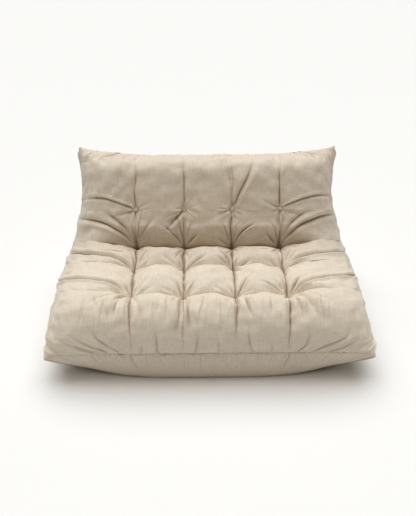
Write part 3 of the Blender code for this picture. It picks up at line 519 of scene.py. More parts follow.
def region_most(lengths, groups):
    """For each group of lines, the longest that each thread is there; between groups it changes evenly."""
    middles = np.array([group.mean() for group in groups])
    most = np.array([np.percentile(lengths[group], 92, axis=0) for group in groups])
    lines = np.arange(len(lengths))
    return np.stack([np.interp(lines, middles, column) for column in most.T], axis=1)


def halved(grid, axis):
    """The grid with a new point between each two along one axis, on a smooth curve through its neighbours."""
    grid = np.moveaxis(grid, axis, 0)
    padded = np.concatenate([2 * grid[:1] - grid[1:2], grid, 2 * grid[-1:] - grid[-2:-1]])
    between = (9 * (padded[1:-2] + padded[2:-1]) - padded[:-3] - padded[3:]) / 16
    out = np.empty((2 * len(grid) - 1, *grid.shape[1:]))
    out[::2], out[1::2] = grid, between
    return np.moveaxis(out, 0, axis)


def finer(grid):
    return halved(halved(grid, 0), 1)


def drifting(shape, rounds, seed):
    """Cloud values that change as slowly over a finer grid as over the coarse one."""
    coarse = tuple(count // 2 + 1 for count in shape)
    return finer(cloud(coarse, rounds, seed))[:shape[0], :shape[1]]


def tuft_distance(place, rows):
    """How far each point is from the nearest tuft of these rows."""
    return np.min([np.hypot(place[..., 0] - x, place[..., 1] - at)
                   for x in column_places() for at in rows], axis=0)


def seam_distance(place, far):
    """How far each point of the quilted face is from its nearest seam, measured along the cloth."""
    along = np.minimum(place[..., 1], CREST_LENGTH - place[..., 1])
    return np.minimum(along, far[-1] - np.abs(place[..., 0]))


MIDDLE_SHARE = 0.34  # the share of the crest at which the pattern's width is measured
FULLNESS_SPREAD = 0.07
LUMP_HEIGHT, WANDER = 0.0018, 0.0022
HELD_RADIUS = 0.0085  # cloth this near a tuft doesn't move as it settles
PINNED_WITHIN = 0.001  # and cloth this near a pleat between tufts
SLACK_SHARE, MOST_SLACK = 0.42, 1.45
SETTLE_STEPS = 260
DISH_AT, DISH_WIDTH = 0.0135, 0.0075  # the dish round each button of the back
FULL_SHADE_FOLD_DEPTH = 0.011  # a fold this deep gets the darkest painted shade


def quilted_points():
    """The quilted face, settled: its points, its pattern's coordinates, the row where the side seams turn up
    the rear corners, and how much painted shade each point gets.
    """
    (shares, corner_row), across = along_stations(), across_stations()
    share, u = np.meshgrid(shares, across, indexing="ij")
    flat = pad_surface(share, u, tufted=False)
    middle = flat[np.argmin(np.abs(shares - MIDDLE_SHARE))]
    far = lengths_along(middle)
    far -= far[len(far) // 2]
    place = np.stack(np.broadcast_arrays(far[None, :], (shares * CREST_LENGTH)[:, None]), axis=-1)
    fullness = 1 + FULLNESS_SPREAD * cloud(share.shape, 60, 4)
    form = pad_surface(share, u, fullness=fullness)
    normals = grid_normals(form)
    edge = seam_distance(place, far)
    calm = smooth_step(edge, 0, 0.02)
    lumps = LUMP_HEIGHT * cloud(share.shape, 40, 11)
    target = form + normals * (lumps * calm)[..., None]
    columns = column_places()
    tuft = tuft_distance(place, ROW_AT)
    beside = np.min([np.abs(place[..., 0] - x) for x in columns], axis=0)
    astride = np.min([np.abs(place[..., 1] - at) for at in ROW_AT[:BACK_ROW]], axis=0)
    between_rows = (place[..., 1] > ROW_AT[0]) & (place[..., 1] < ROW_AT[BACK_ROW])
    pleated = (beside < PINNED_WITHIN) & between_rows
    pleated |= (astride < PINNED_WITHIN) & (np.abs(place[..., 0]) < OUTER_COLUMN)
    held = (tuft < HELD_RADIUS) | pleated
    held[[0, -1]] = True
    held[:, [0, -1]] = True
    across_now, along_now = thread_lengths(target)
    rows = [0, *(np.searchsorted(shares * CREST_LENGTH, at) for at in ROW_AT[:BACK_ROW]), len(shares) - 1]
    groups = [np.arange(a, b) for a, b in zip(rows, rows[1:])]
    across_flat = region_most(across_now, groups)
    marks = [np.argmin(np.abs(far - x)) for x in columns]
    inner = along_now[:, marks[0]:marks[-1]]
    along_flat = np.maximum(along_now, np.percentile(inner, 92, axis=1)[:, None])
    across_flat = np.clip(across_flat, across_now, MOST_SLACK * across_now)
    along_flat = np.clip(along_flat, along_now, MOST_SLACK * along_now)
    across_rest = across_now * (1 - SLACK_SHARE) + across_flat * SLACK_SHARE
    along_rest = along_now * (1 - SLACK_SHARE) + along_flat * SLACK_SHARE
    points = target
    nudge = 0.0008 * cloud(share.shape, 3, 21) * calm
    cloth = Cloth(target + normals * nudge[..., None], target, held, across_rest, along_rest)
    points = cloth.settle(SETTLE_STEPS)
    points = points + (blurred_points(points, 1) - points) * (~held)[..., None]
    outward = unit(finer(blurred_points(grid_normals(flat), 12)))
    points, place, edge = finer(points), finer(place), finer(edge)
    corner_row *= 2
    tuft = tuft_distance(place, ROW_AT)
    folds = all_folds(place)
    depth = (folds * smooth_step(tuft, 0.007, 0.024) + creases(place)) * smooth_step(edge, -0.002, 0.014)
    back_tuft = tuft_distance(place, ROW_AT[BACK_ROW:])
    depth = depth + DISH_DEPTH * np.exp(-(((back_tuft - DISH_AT) / DISH_WIDTH) ** 2))
    points = points - outward * depth[..., None]
    wander = finer(WANDER * cloud(share.shape, 140, 81)) * smooth_step(edge, 0, 0.05)
    points[..., 0] += wander * smooth_step(tuft, 0.01, 0.05)
    points = soften_ears(sink_seams(points, outward, place, far), place, far)
    # painted shade: darker down in the folds and the creases
    pinch = np.clip(folds / FULL_SHADE_FOLD_DEPTH, 0, 1) + np.clip(creases(place) / FULL_SHADE_FOLD_DEPTH, 0, 1.2)
    # painted shade in the tuft holes
    pinch = np.clip(pinch + 0.6 * np.exp(-((tuft / 0.012) ** 2)), 0, 1)
    # a painted shadow ring round each button of the back
    pinch = np.maximum(pinch, 0.85 * np.exp(-(((back_tuft - BUTTON_RADIUS) / 0.0035) ** 2)))
    return points, place, corner_row, pinch


def creases(place):
    """The pleats pinned between the tufts: narrow, deep, and sharp at the bottom."""
    x, along = place[..., 0], place[..., 1]
    columns = column_places()
    depth = np.zeros(x.shape)
    rng = np.random.default_rng(91)
    for column in columns:
        steps = np.interp(along, np.linspace(0, CREST_LENGTH, 15), rng.uniform(0.65, 1.3, 15))
        strength = np.interp(along, *zip(*COLUMN_CREASE_AT)) * steps
        depth += strength * np.exp(-np.abs(x - column) / CREASE_WIDTH)
    for at, strength in zip(ROW_AT, ROW_CREASE):
        past = np.clip(np.abs(x) - OUTER_COLUMN, 0, None)
        depth += strength * np.exp(-np.abs(along - at) / CREASE_WIDTH) * np.exp(-((past / 0.05) ** 2))
    return depth


COLUMN_CREASE_AT = ((0.0, 0.0), (0.05, 0.003), (0.20, 0.006), (0.29, 0.008), (0.33, 0.013), (0.62, 0.015),
                    (0.67, 0.009), (0.72, 0.0055), (0.76, 0.003), (0.80, 0.003), (0.95, 0.0025),
                    (1.06, 0.001))
ROW_CREASE = (0.007, 0.007, 0.009, 0.0)
CREASE_WIDTH = 0.0027


def soften_ears(points, place, far):
    """Rounds the four ears, where stuffing never fills the very tip."""
    side = np.sign(place[..., 0])
    out = far[-1] - np.abs(place[..., 0])
    near_top = np.exp(-(((CREST_LENGTH - place[..., 1]) / TOP_LIFT_REACH) ** 2))
    high = near_top * smooth_step(np.abs(points[..., 0]), 0.22, 0.56)
    points = points + np.array([0, 0, TOP_EAR_LIFT]) * high[..., None]
    front, top = place[..., 1], CREST_LENGTH - place[..., 1]
    for along, pull, reach in ((front, FRONT_EAR_PULL, FRONT_EAR_REACH),
                               (front, FRONT_TIP_PULL, EAR_TIP_REACH),
                               (top, TOP_EAR_PULL, TOP_EAR_REACH), (top, TOP_TIP_PULL, EAR_TIP_REACH)):
        share = np.exp(-((np.hypot(out, along) / reach) ** 2))
        move = np.stack(np.broadcast_arrays(side * pull[0], pull[1], pull[2]), axis=-1)
        points = points + move * share[..., None]
    return points


DISH_DEPTH = 0.0030
FRONT_EAR_PULL = (0.006, 0.000, -0.018)
TOP_EAR_PULL = (-0.006, -0.002, -0.006)
FRONT_TIP_PULL = (-0.019, 0.006, 0.017)
TOP_TIP_PULL = (-0.012, -0.002, -0.014)
FRONT_EAR_REACH, TOP_EAR_REACH, EAR_TIP_REACH = 0.034, 0.036, 0.024
TOP_EAR_LIFT, TOP_LIFT_REACH = 0.023, 0.11


def blurred_points(points, rounds):
    return np.stack([blurred(points[..., axis], rounds) for axis in range(3)], axis=-1)


def sink_seams(points, outward, place, far):
    """Draws the cloth down beside its seams, unevenly, as the stitches pucker it."""
    edge = seam_distance(place, far)
    ripple = 1 + 0.22 * cloud(edge.shape, 8, 31)
    out = far[-1] - np.abs(place[..., 0])
    blunt = 0.15 + 0.85 * smooth_step(out, 0.03, 0.16)
    depth = SEAM_DEPTH * np.exp(-((edge / SEAM_REACH) ** 2)) * ripple * blunt
    return points - outward * depth[..., None]


def outer_back_points(quilt, corner_row):
    """The plain outer back, between the two side seams, from the top seam down to the rear base seam."""
    left, right = quilt[:corner_row - 1:-1, 0], quilt[:corner_row - 1:-1, -1]
    top = quilt[-1]
    share = ((top[:, 0] - top[0, 0]) / (top[-1, 0] - top[0, 0]))[None, :, None]
    grid = left[:, None] * (1 - share) + right[:, None] * share
    height = np.linspace(0, 1, len(left))[:, None, None]
    grid = grid + (top - grid[0])[None] * (1 - height) ** 2
    bulge = OUTER_BACK_BULGE * np.sin(np.pi * height) * (1 - (2 * share - 1) ** 4)
    grid[..., 1] += bulge[..., 0]
    return grid


def grid_mesh(name, grid, pattern, finish, closed=False, pinch=None):
    """A mesh over a grid of points, with the cloth's own pattern coordinates as its UV map.

    The painted fold shade, the last argument, says how much painted shade each point gets, from 0 to 1, down
    in the folds and creases and round the tufts.
    """
    rows, columns = grid.shape[:2]
    index = np.arange(rows * columns).reshape(rows, columns)
    right = np.roll(index, -1, axis=1) if closed else index[:, 1:]
    left = index if closed else index[:, :-1]
    quads = np.stack([left[:-1], right[:-1], right[1:], left[1:]], axis=-1).reshape(-1, 4)
    mesh = bpy.data.meshes.new(name)
    mesh.vertices.add(rows * columns)
    mesh.vertices.foreach_set("co", grid.reshape(-1).astype(np.float32))
    mesh.loops.add(quads.size)
    mesh.loops.foreach_set("vertex_index", quads.reshape(-1).astype(np.int32))
    mesh.polygons.add(len(quads))
    mesh.polygons.foreach_set("loop_start", np.arange(0, quads.size, 4, dtype=np.int32))
    mesh.update(calc_edges=True)
    corner = pattern.reshape(-1, 2)[quads].copy()
    if closed:
        wrap = (corner[..., 0].max(axis=1) - corner[..., 0].min(axis=1)) > 0.5
        corner[wrap, :, 0] += np.where(corner[wrap, :, 0] < 0.5, pattern[..., 0].max() + 0.005, 0)
    uv = mesh.uv_layers.new(name="cloth")
    uv.data.foreach_set("uv", corner.reshape(-1).astype(np.float32))
    # the painted fold shade goes on as a point attribute, which the linen's finish darkens by
    painted_shade = mesh.attributes.new("pinch", "FLOAT", "POINT")
    if pinch is not None:
        painted_shade.data.foreach_set("value", pinch.reshape(-1).astype(np.float32))
    mesh.validate()
    mesh.shade_smooth()
    mesh.materials.append(finish)
    piece = bpy.data.objects.new(name, mesh)
    bpy.context.scene.collection.objects.link(piece)
    return piece


# ---- Base band and seams -------------------------------------------------------------------------------


def footprint(loop, marks):
    """Each point of the base seam carried in to the rounded rectangle on the floor.

    marks are where the loop's front, right side and rear end.
    """
    front_end, right_end, rear_end = marks
    centre = np.array([0, (FOOT_FRONT_Y + FOOT_REAR_Y) / 2 + MIDDLE_Y])
    half = np.array([FOOT_HALF_WIDTH, (FOOT_REAR_Y - FOOT_FRONT_Y) / 2])
    low, high = loop[:, :2].min(axis=0), loop[:, :2].max(axis=0)
    squared = (loop[:, :2] - low) / (high - low) * 2 - 1
    count = np.arange(len(loop))
    front, rear = count <= front_end, (count >= right_end) & (count <= rear_end)
    squared[front, 1], squared[rear, 1] = -1, 1
    upright = ~(front | rear)
    squared[upright, 0] = np.sign(squared[upright, 0])
    reach = (np.abs(squared) ** FOOT_SQUARENESS).sum(axis=1) ** (-1 / FOOT_SQUARENESS)
    foot = squared * half * reach[:, None] + centre
    return np.concatenate([foot, np.full((len(foot), 1), BAND_LIFT)], axis=1)


def zip_gap(x):
    """Half of the opening for the zip along the rear base seam: full beside the zip, closed past its ends."""
    return ZIP_OPENING / 2 * smooth_step(ZIP_LENGTH / 2 + 0.010 - np.abs(x), 0, 0.012)


def opened(grid, gap, inward):
    """A panel's grid, whose row 0 lies on the zip's seam, drawn back from it and turned in beside the zip."""
    run = np.cumsum(np.linalg.norm(np.diff(grid, axis=0), axis=2), axis=0)
    run = np.concatenate([np.zeros((1, grid.shape[1])), run])
    share = np.clip(1 - run / 0.05, 0, 1)
    shift = gap[None] * share * share
    way = unit(grid[6] - grid[0])[None]
    moved = grid + way * shift[..., None]
    fold = np.clip(gap / (ZIP_OPENING / 2), 0, 1)[:, None]
    lips = []
    for depth, back in ((0.0048, 0.0016), (0.0036, 0.0010), (0.0018, 0.0002)):
        lips.append(moved[0] + inward * depth * (0.25 + 0.75 * fold) - way[0] * back * fold)
    return np.concatenate([lips, moved])


def band_points(quilt, corner_row):
    """The base band, from the base seam down to the footprint and a hem turned under."""
    right, left = quilt[1:corner_row + 1, -1], quilt[corner_row:0:-1, 0]
    count = quilt.shape[1]
    across = np.linspace(0, 1, count)[1:-1, None]
    rear = right[-1] * (1 - across) + left[0] * across
    loop = np.concatenate([quilt[0], right, rear, left])
    marks = (count - 1, count - 1 + corner_row, count - 1 + corner_row + len(rear) + 1)
    foot = footprint(loop, marks)
    outward = foot - np.array([0, MIDDLE_Y, 0])
    outward[:, 2] = 0
    outward = unit(outward)
    lengths = lengths_along(np.concatenate([loop, loop[:1]]))
    place = lengths[:-1]
    heights = np.concatenate([[0, 0.012, 0.028, 0.05], np.linspace(0.08, 0.95, 26), [0.975, 0.99, 1.0]])
    share = heights[:, None, None]
    grid = loop * (1 - share) + foot * share + outward * (BAND_BULGE * np.sin(np.pi * share) ** 0.7)
    normals = outward[None] * np.ones_like(grid)
    waves = band_folds(place, heights, lengths[-1])
    grid = grid - normals * waves[..., None]
    pucker = 1 + 0.5 * ring_noise(len(loop), 5, 41)
    distance = np.linalg.norm(loop[None] - grid, axis=2)
    rise = 0.0032 * (1 - np.exp(-distance / 0.005)) * np.exp(-((distance / 0.05) ** 2))
    grid = grid + normals * (rise * pucker[None])[..., None]
    rear_side = (np.arange(len(loop)) >= marks[1]) & (np.arange(len(loop)) <= marks[2])
    gap = np.where(rear_side, zip_gap(loop[:, 0]), 0)
    grid = opened(grid, gap, -outward)
    under = grid[-1]
    hem = [under - outward * reach + np.array([0, 0, lift]) for reach, lift in
           ((0.0012, -0.0014), (0.004, -0.0022), (0.010, -0.0022), (0.020, -0.0018))]
    hem = [np.concatenate([row[:, :2], np.maximum(row[:, 2:], 0.0004)], axis=1) for row in hem]
    return np.concatenate([grid, hem]), place


def ring_noise(count, width, seed):
    """Smooth random values round a closed loop, with a spread of 1."""
    values = np.random.default_rng(seed).standard_normal(count)
    kernel = np.exp(-(((np.arange(count) + count // 2) % count - count // 2) / width) ** 2)
    values = np.real(np.fft.ifft(np.fft.fft(values) * np.fft.fft(kernel)))
    return values / values.std()


def band_folds(place, heights, length):
    """How far in the band lies: drag lines that lean as they run down, and puckers below the seam."""
    depth = np.zeros((len(heights), len(place)))
    rng = np.random.default_rng(51)
    drop = heights[:, None]
    for _ in range(46):
        start, lean = rng.uniform(0, length), rng.uniform(-0.16, 0.16)
        top, size = rng.choice([0.0, 0.0, 0.25]), rng.uniform(0.4, 1.0)
        deep, width = rng.uniform(0.0008, 0.0030), rng.uniform(0.005, 0.013)
        along = (place[None] - start - lean * (drop - top) + length / 2) % length - length / 2
        run = np.clip((drop - top) / size, 0, 1)
        fade = smooth_step(1 - run, 0, 0.5) * smooth_step(run, -0.02, 0.06)
        depth += deep * fade * np.exp(-((along / (width * (0.7 + 0.8 * run))) ** 2))
    rough = ring_noise(len(place), 9, 52)[None] * np.exp(-drop * 5) * 0.0010
    return depth + rough * smooth_step(drop, 0, 0.05)


# ---- Finishes ------------------------------------------------------------------------------------------


class Shade:
    """One value on its way through a finish. Python's operators add the Math nodes that work it out."""

    def __init__(self, socket):
        self.socket = socket

    def worked(self, operation, *terms):
        tree = self.socket.id_data
        sum_node = tree.nodes.new("ShaderNodeMath")
        sum_node.operation = operation
        for place, term in zip(sum_node.inputs, terms):
            if isinstance(term, Shade):
                tree.links.new(term.socket, place)
            else:
                place.default_value = term
        return Shade(sum_node.outputs[0])

    def __add__(self, other):
        return self.worked("ADD", self, other)

    def __sub__(self, other):
        return self.worked("SUBTRACT", self, other)

    def __rsub__(self, other):
        return self.worked("SUBTRACT", other, self)

    def __mul__(self, other):
        return self.worked("MULTIPLY", self, other)

    def __truediv__(self, other):
        return self.worked("DIVIDE", self, other)

    def __rtruediv__(self, other):
        return self.worked("DIVIDE", other, self)

    def __pow__(self, other):
        return self.worked("POWER", self, other)

    def __neg__(self):
        return self * -1

    __radd__, __rmul__ = __add__, __mul__

    def wave(self):
        return self.worked("SINE", self)

    def size(self):
        return self.worked("ABSOLUTE", self)

    def above(self, other):
        return self.worked("MAXIMUM", self, other)

    def below(self, other):
        return self.worked("MINIMUM", self, other)

    def step(self, low, high):
        """0 below low, 1 above high, smooth between."""
        t = ((self - low) / (high - low)).above(0).below(1)
        return t * t * (3 - 2 * t)


class Finish:
    """A material that is being built node by node."""

    def __init__(self, name, **shader):
        self.material = bpy.data.materials.new(name)
        self.material.use_nodes = True
        self.tree = self.material.node_tree
        self.tree.nodes.clear()
        self.shader = self.tree.nodes.new("ShaderNodeBsdfPrincipled")
        out = self.tree.nodes.new("ShaderNodeOutputMaterial")
        self.tree.links.new(self.shader.outputs[0], out.inputs[0])
        for socket, value in shader.items():
            self.shader.inputs[self.socket_name(socket)].default_value = value

    @staticmethod
    def socket_name(word):
        return word.replace("_", " ").title().replace("Ior", "IOR")

    def node(self, kind, settings=(), inputs=(), output=0):
        """Any node, by type: its settings first, then the values or links of its sockets."""
        made = self.tree.nodes.new("ShaderNode" + kind)
        for name, value in dict(settings).items():
            if name == "stops":
                self.set_stops(made.color_ramp, value)
            else:
                setattr(made, name, value)
        for name, value in dict(inputs).items():
            if isinstance(value, Shade):
                self.tree.links.new(value.socket, made.inputs[name])
            else:
                made.inputs[name].default_value = value
        return Shade(made.outputs[output])

    @staticmethod
    def set_stops(ramp, stops):
        while len(ramp.elements) < len(stops):
            ramp.elements.new(0.5)
        for element, (place, colour) in zip(ramp.elements, stops):
            element.position, element.color = place, (*colour, 1)

    def object_place(self):
        return self.node("TexCoord", output="Object")

    def cloth_place(self):
        return self.node("UVMap", {"uv_map": "cloth"})

    def scaled(self, place, x, y, z=1.0):
        return self.node("Mapping", inputs={"Vector": place, "Scale": (x, y, z)})

    def axes(self, place):
        parts = self.tree.nodes.new("ShaderNodeSeparateXYZ")
        self.tree.links.new(place.socket, parts.inputs[0])
        return tuple(Shade(part) for part in parts.outputs)

    def noise(self, place, scale, detail=2.0, roughness=0.5):
        return self.node("TexNoise", inputs={"Vector": place, "Scale": scale, "Detail": detail,
                                             "Roughness": roughness}, output="Fac")

    def blend(self, share, first, second, how="MIX"):
        """Two colours, blended by a share."""
        return self.node("Mix", {"data_type": "RGBA", "blend_type": how, "clamp_factor": True},
                         {0: share, 6: first, 7: second}, output=2)

    def ramp(self, value, *stops):
        return self.node("ValToRGB", {"stops": stops}, {"Fac": value})

    def bump(self, height, distance, strength=1.0, under=None):
        inputs = {"Height": height, "Distance": distance, "Strength": strength}
        if under is not None:
            inputs["Normal"] = under
        return self.node("Bump", inputs=inputs)

    def feed(self, **values):
        for socket, value in values.items():
            self.tree.links.new(value.socket, self.shader.inputs[self.socket_name(socket)])
        return self.material


def tinted(colour, share):
    return tuple(min(1.0, part * share) for part in colour[:3]) + (1,)


LINEN = (0.735, 0.650, 0.535, 1)
LINEN_DEEP = (0.590, 0.495, 0.380, 1)
LINEN_PALE = (0.825, 0.755, 0.652, 1)
# the painted shade colour for the folds, creases and tuft holes
LINEN_PAINTED_SHADE = (0.330, 0.225, 0.140, 1)


def linen(name, thread=0.00085, depth=0.00022):
    """Plain-woven linen-look cloth: slubbed threads both ways, uneven in thickness and in dye, with painted
    shade down in its folds and creases.
    """
    finish = Finish(name, roughness=0.86, sheen_weight=0.18, sheen_roughness=0.45, specular_ior_level=0.18)
    place = finish.cloth_place()
    drift = finish.noise(finish.scaled(place, 30, 30), 1.0, 2) - 0.5
    x, y, _ = finish.axes(place)
    turn = math.pi / thread
    warp = (x + drift * 0.0012) * turn
    weft = (y + drift * 0.0012) * turn
    over = warp.wave() * weft.wave()
    warp_slub = finish.noise(finish.scaled(place, 1 / 0.0011, 1 / 0.022), 1.0, 2, 0.6)
    weft_slub = finish.noise(finish.scaled(place, 1 / 0.026, 1 / 0.0011), 1.0, 2, 0.6)
    warp_up = warp.wave().size() * (0.55 + 0.45 * over) * (0.55 + 0.9 * warp_slub)
    weft_up = weft.wave().size() * (0.55 - 0.45 * over) * (0.55 + 0.9 * weft_slub)
    weave = warp_up.above(weft_up)
    slubs = (warp_slub - 0.5) + (weft_slub - 0.5)
    thick = finish.noise(finish.scaled(place, 1 / 0.0042, 1 / 0.06), 1.0, 2, 0.6)
    thick = thick + finish.noise(finish.scaled(place, 1 / 0.07, 1 / 0.0042), 1.0, 2, 0.6) - 1
    dye = finish.noise(finish.scaled(place, 9, 9), 1.0, 3, 0.55)
    fleck = finish.noise(finish.scaled(place, 1 / 0.004, 1 / 0.007), 1.0, 3, 0.7)
    uneven = slubs * 1.4 + thick * 0.85 + (dye - 0.5) * 0.3
    colour = finish.blend((0.5 + uneven).above(0).below(1), LINEN_DEEP, LINEN_PALE)
    colour = finish.blend((fleck.step(0.30, 0.75)) * 0.5, colour, LINEN)
    colour = finish.blend((1 - weave.step(0.05, 0.55)) * 0.34, colour, tinted(LINEN_DEEP, 0.72))
    # painted shade: the cloth darkens towards a deep brown as far as each point lies in a fold, crease or
    # tuft hole
    painted_shade = finish.node("Attribute", {"attribute_name": "pinch"}, output="Fac")
    colour = finish.blend(painted_shade.step(0.08, 1.0) * 0.72, colour, LINEN_PAINTED_SHADE)
    rough = 0.80 + fleck * 0.14
    fine = finish.bump(weave + slubs * 0.6, depth, 0.55)
    crumple = finish.noise(finish.scaled(place, 42, 42), 1.0, 3, 0.55)
    return finish.feed(base_color=colour, roughness=rough, normal=finish.bump(crumple, 0.0014, 0.30, fine))


def studio_floor():
    finish = Finish("studio_floor_white", roughness=0.7, specular_ior_level=0.1)
    tone = finish.noise(finish.object_place(), 3.0)
    colour = finish.blend(tone, (0.800, 0.800, 0.797, 1), (0.806, 0.806, 0.803, 1))
    return finish.feed(base_color=colour)


def fibre_wadding():
    """Bonded polyester wadding: tangled white fibre with a soft loft."""
    finish = Finish("bonded_fibre_wadding", roughness=0.95, sheen_weight=0.3, specular_ior_level=0.1)
    place = finish.object_place()
    fibres = finish.noise(finish.scaled(place, 900, 120, 500), 1.0, 4, 0.7)
    loft = finish.noise(place, 28.0, 3)
    colour = finish.blend((fibres * 0.6 + loft * 0.4).step(0.3, 0.7),
                          (0.72, 0.72, 0.70, 1), (0.90, 0.90, 0.88, 1))
    return finish.feed(base_color=colour, roughness=0.88 + loft * 0.1,
                       normal=finish.bump(fibres + loft, 0.0015, 0.6))


def open_foam(name, colour, cell):
    """Cut foam: open cells, with the saw's faint lines."""
    finish = Finish(name, roughness=0.92, specular_ior_level=0.1)
    place = finish.object_place()
    cells = finish.node("TexVoronoi", inputs={"Vector": place, "Scale": 1 / cell}, output="Distance")
    stain = finish.noise(place, 7.0, 3)
    _, _, z = finish.axes(place)
    saw = (z * 900 + stain * 4).wave()
    shade = finish.blend(cells.step(0.05, 0.5), tinted(colour, 0.55), colour)
    shade = finish.blend(stain.step(0.45, 0.75) * 0.4, shade, tinted(colour, 0.86))
    return finish.feed(base_color=shade, roughness=0.85 + stain * 0.12,
                       normal=finish.bump(cells + saw * 0.1, 0.0008, 0.7))


def waxed_twine():
    finish = Finish("waxed_tufting_twine", roughness=0.6, specular_ior_level=0.3)
    place = finish.object_place()
    x, y, z = finish.axes(place)
    ply = ((x + y + z) * 2600).wave()
    fray = finish.noise(place, 900.0, 3)
    colour = finish.blend((ply * 0.5 + 0.5) * 0.7 + fray * 0.3, (0.34, 0.27, 0.17, 1), (0.72, 0.63, 0.47, 1))
    return finish.feed(base_color=colour, roughness=0.5 + fray * 0.3, normal=finish.bump(ply, 0.0003, 0.8))


def woven_tape(name, dark, light, rib, along_x=True):
    """Close-woven tape with ribs across it."""
    finish = Finish(name, roughness=0.75, sheen_weight=0.1, specular_ior_level=0.25)
    place = finish.object_place()
    x, y, z = finish.axes(place)
    ribs = (x * (math.tau / rib)).wave()
    cross = (((y + z) if along_x else (y + x)) * (math.tau / rib)).wave()
    fuzz = finish.noise(place, 1200.0, 2)
    weave = ribs * cross
    colour = finish.blend((weave * 0.35 + 0.35 + fuzz * 0.4).above(0).below(1), dark, light)
    return finish.feed(base_color=colour, roughness=0.66 + fuzz * 0.2,
                       normal=finish.bump(weave + fuzz, 0.0002, 0.7))


def dust_cloth():
    """Spun-bonded black cloth under the seat, embossed with fine dots."""
    finish = Finish("spun_bonded_dust_cloth", roughness=0.8, specular_ior_level=0.25)
    place = finish.object_place()
    x, y, _ = finish.axes(place)
    dots = (x * 2100).wave() * (y * 2100).wave()
    strands = finish.noise(finish.scaled(place, 500, 260), 1.0, 4, 0.7)
    colour = finish.blend(strands.step(0.3, 0.7), (0.012, 0.012, 0.013, 1), (0.040, 0.040, 0.042, 1))
    return finish.feed(base_color=colour, roughness=0.72 + strands * 0.2,
                       normal=finish.bump(dots + strands, 0.0003, 0.7))


def moulded_nylon():
    finish = Finish("zip_nylon_beige", roughness=0.42, specular_ior_level=0.45)
    place = finish.object_place()
    cloudy = finish.noise(place, 60.0, 3)
    scuff = finish.noise(finish.scaled(place, 300, 2200, 2200), 1.0, 2)
    colour = finish.blend(cloudy, (0.46, 0.38, 0.27, 1), (0.60, 0.51, 0.38, 1))
    return finish.feed(base_color=colour, roughness=0.36 + scuff * 0.2,
                       normal=finish.bump(scuff, 0.00006, 0.5))


def brushed_zinc():
    finish = Finish("zip_zinc", roughness=0.3, metallic=1.0)
    place = finish.object_place()
    brush = finish.noise(finish.scaled(place, 260, 260, 3200), 1.0, 3, 0.6)
    worn = finish.noise(place, 220.0, 4)
    colour = finish.blend(worn.step(0.4, 0.7), (0.50, 0.48, 0.45, 1), (0.66, 0.64, 0.60, 1))
    return finish.feed(base_color=colour, roughness=0.22 + brush * 0.22 + worn * 0.08,
                       normal=finish.bump(brush, 0.00004, 0.6))


# ---- Buttons, zip and other small pieces ---------------------------------------------------------------


def row_way(row):
    """The outward way of the tufts in a row."""
    normal = crest(np.array(ROW_AT[row] / CREST_LENGTH))[1]
    return Vector((0, float(normal[0]), float(normal[1])))


def covered_button(name, centre, way, finish, seed):
    """A covered button: a low dome with the cloth drawn in pleats round its rim and turned under it."""
    profile = ((0.0000, 0.0060), (0.0018, 0.0059), (0.0037, 0.0055), (0.0055, 0.0048), (0.0071, 0.0038),
               (0.0085, 0.0025), (0.0093, 0.0009), (BUTTON_RADIUS, -0.0006), (0.0088, -0.0018),
               (0.0069, -0.0026), (0.0035, -0.0029), (0.0000, -0.0030))
    sides = 48
    rng = np.random.default_rng(seed)
    angles = np.linspace(0, math.tau, sides, endpoint=False)
    pleats = np.sin(angles * 11 + rng.uniform(0, 6)) + 0.6 * np.sin(angles * 17 + rng.uniform(0, 6))
    tip = rng.uniform(-0.10, 0.10, 2)
    turn = Vector((0, 0, 1)).rotation_difference(way).to_matrix()
    turn = turn @ Matrix.Rotation(tip[0], 3, "X") @ Matrix.Rotation(tip[1], 3, "Y")
    place = Matrix.Translation(centre) @ turn.to_4x4()
    grid = []
    for radius, height in profile:
        drawn = 0.00022 * smooth_step(np.array(radius), 0.005, 0.008) * pleats
        ring = [place @ Vector(((radius + pull) * math.cos(a), (radius + pull) * math.sin(a),
                                height - pull * 0.5)) for a, pull in zip(angles, drawn)]
        grid.append(ring)
    grid = np.array([[tuple(point) for point in ring] for ring in grid])
    heights = np.array([height for _, height in profile])[:, None]
    flat = np.stack(np.broadcast_arrays(angles[None] * 0.0082, heights), axis=-1)
    piece = grid_mesh(name, grid, flat, finish, closed=True)
    flat_uv(piece, turn)
    merge_doubles(piece)
    return piece


def flat_uv(piece, turn):
    """Lays the pattern flat over a piece, along the way it faces, so the weave runs straight across it."""
    mesh = piece.data
    back = np.array(turn.to_3x3().inverted())
    points = np.empty(len(mesh.vertices) * 3, np.float32)
    mesh.vertices.foreach_get("co", points)
    local = points.reshape(-1, 3) @ back.T
    index = np.empty(len(mesh.loops), np.int32)
    mesh.loops.foreach_get("vertex_index", index)
    mesh.uv_layers["cloth"].data.foreach_set("uv", local[index, :2].astype(np.float32).reshape(-1))


def merge_doubles(piece, distance=1e-6):
    bm = bmesh.new()
    bm.from_mesh(piece.data)
    bmesh.ops.remove_doubles(bm, verts=bm.verts, dist=distance)
    bmesh.ops.recalc_face_normals(bm, faces=bm.faces)
    bm.to_mesh(piece.data)
    bm.free()


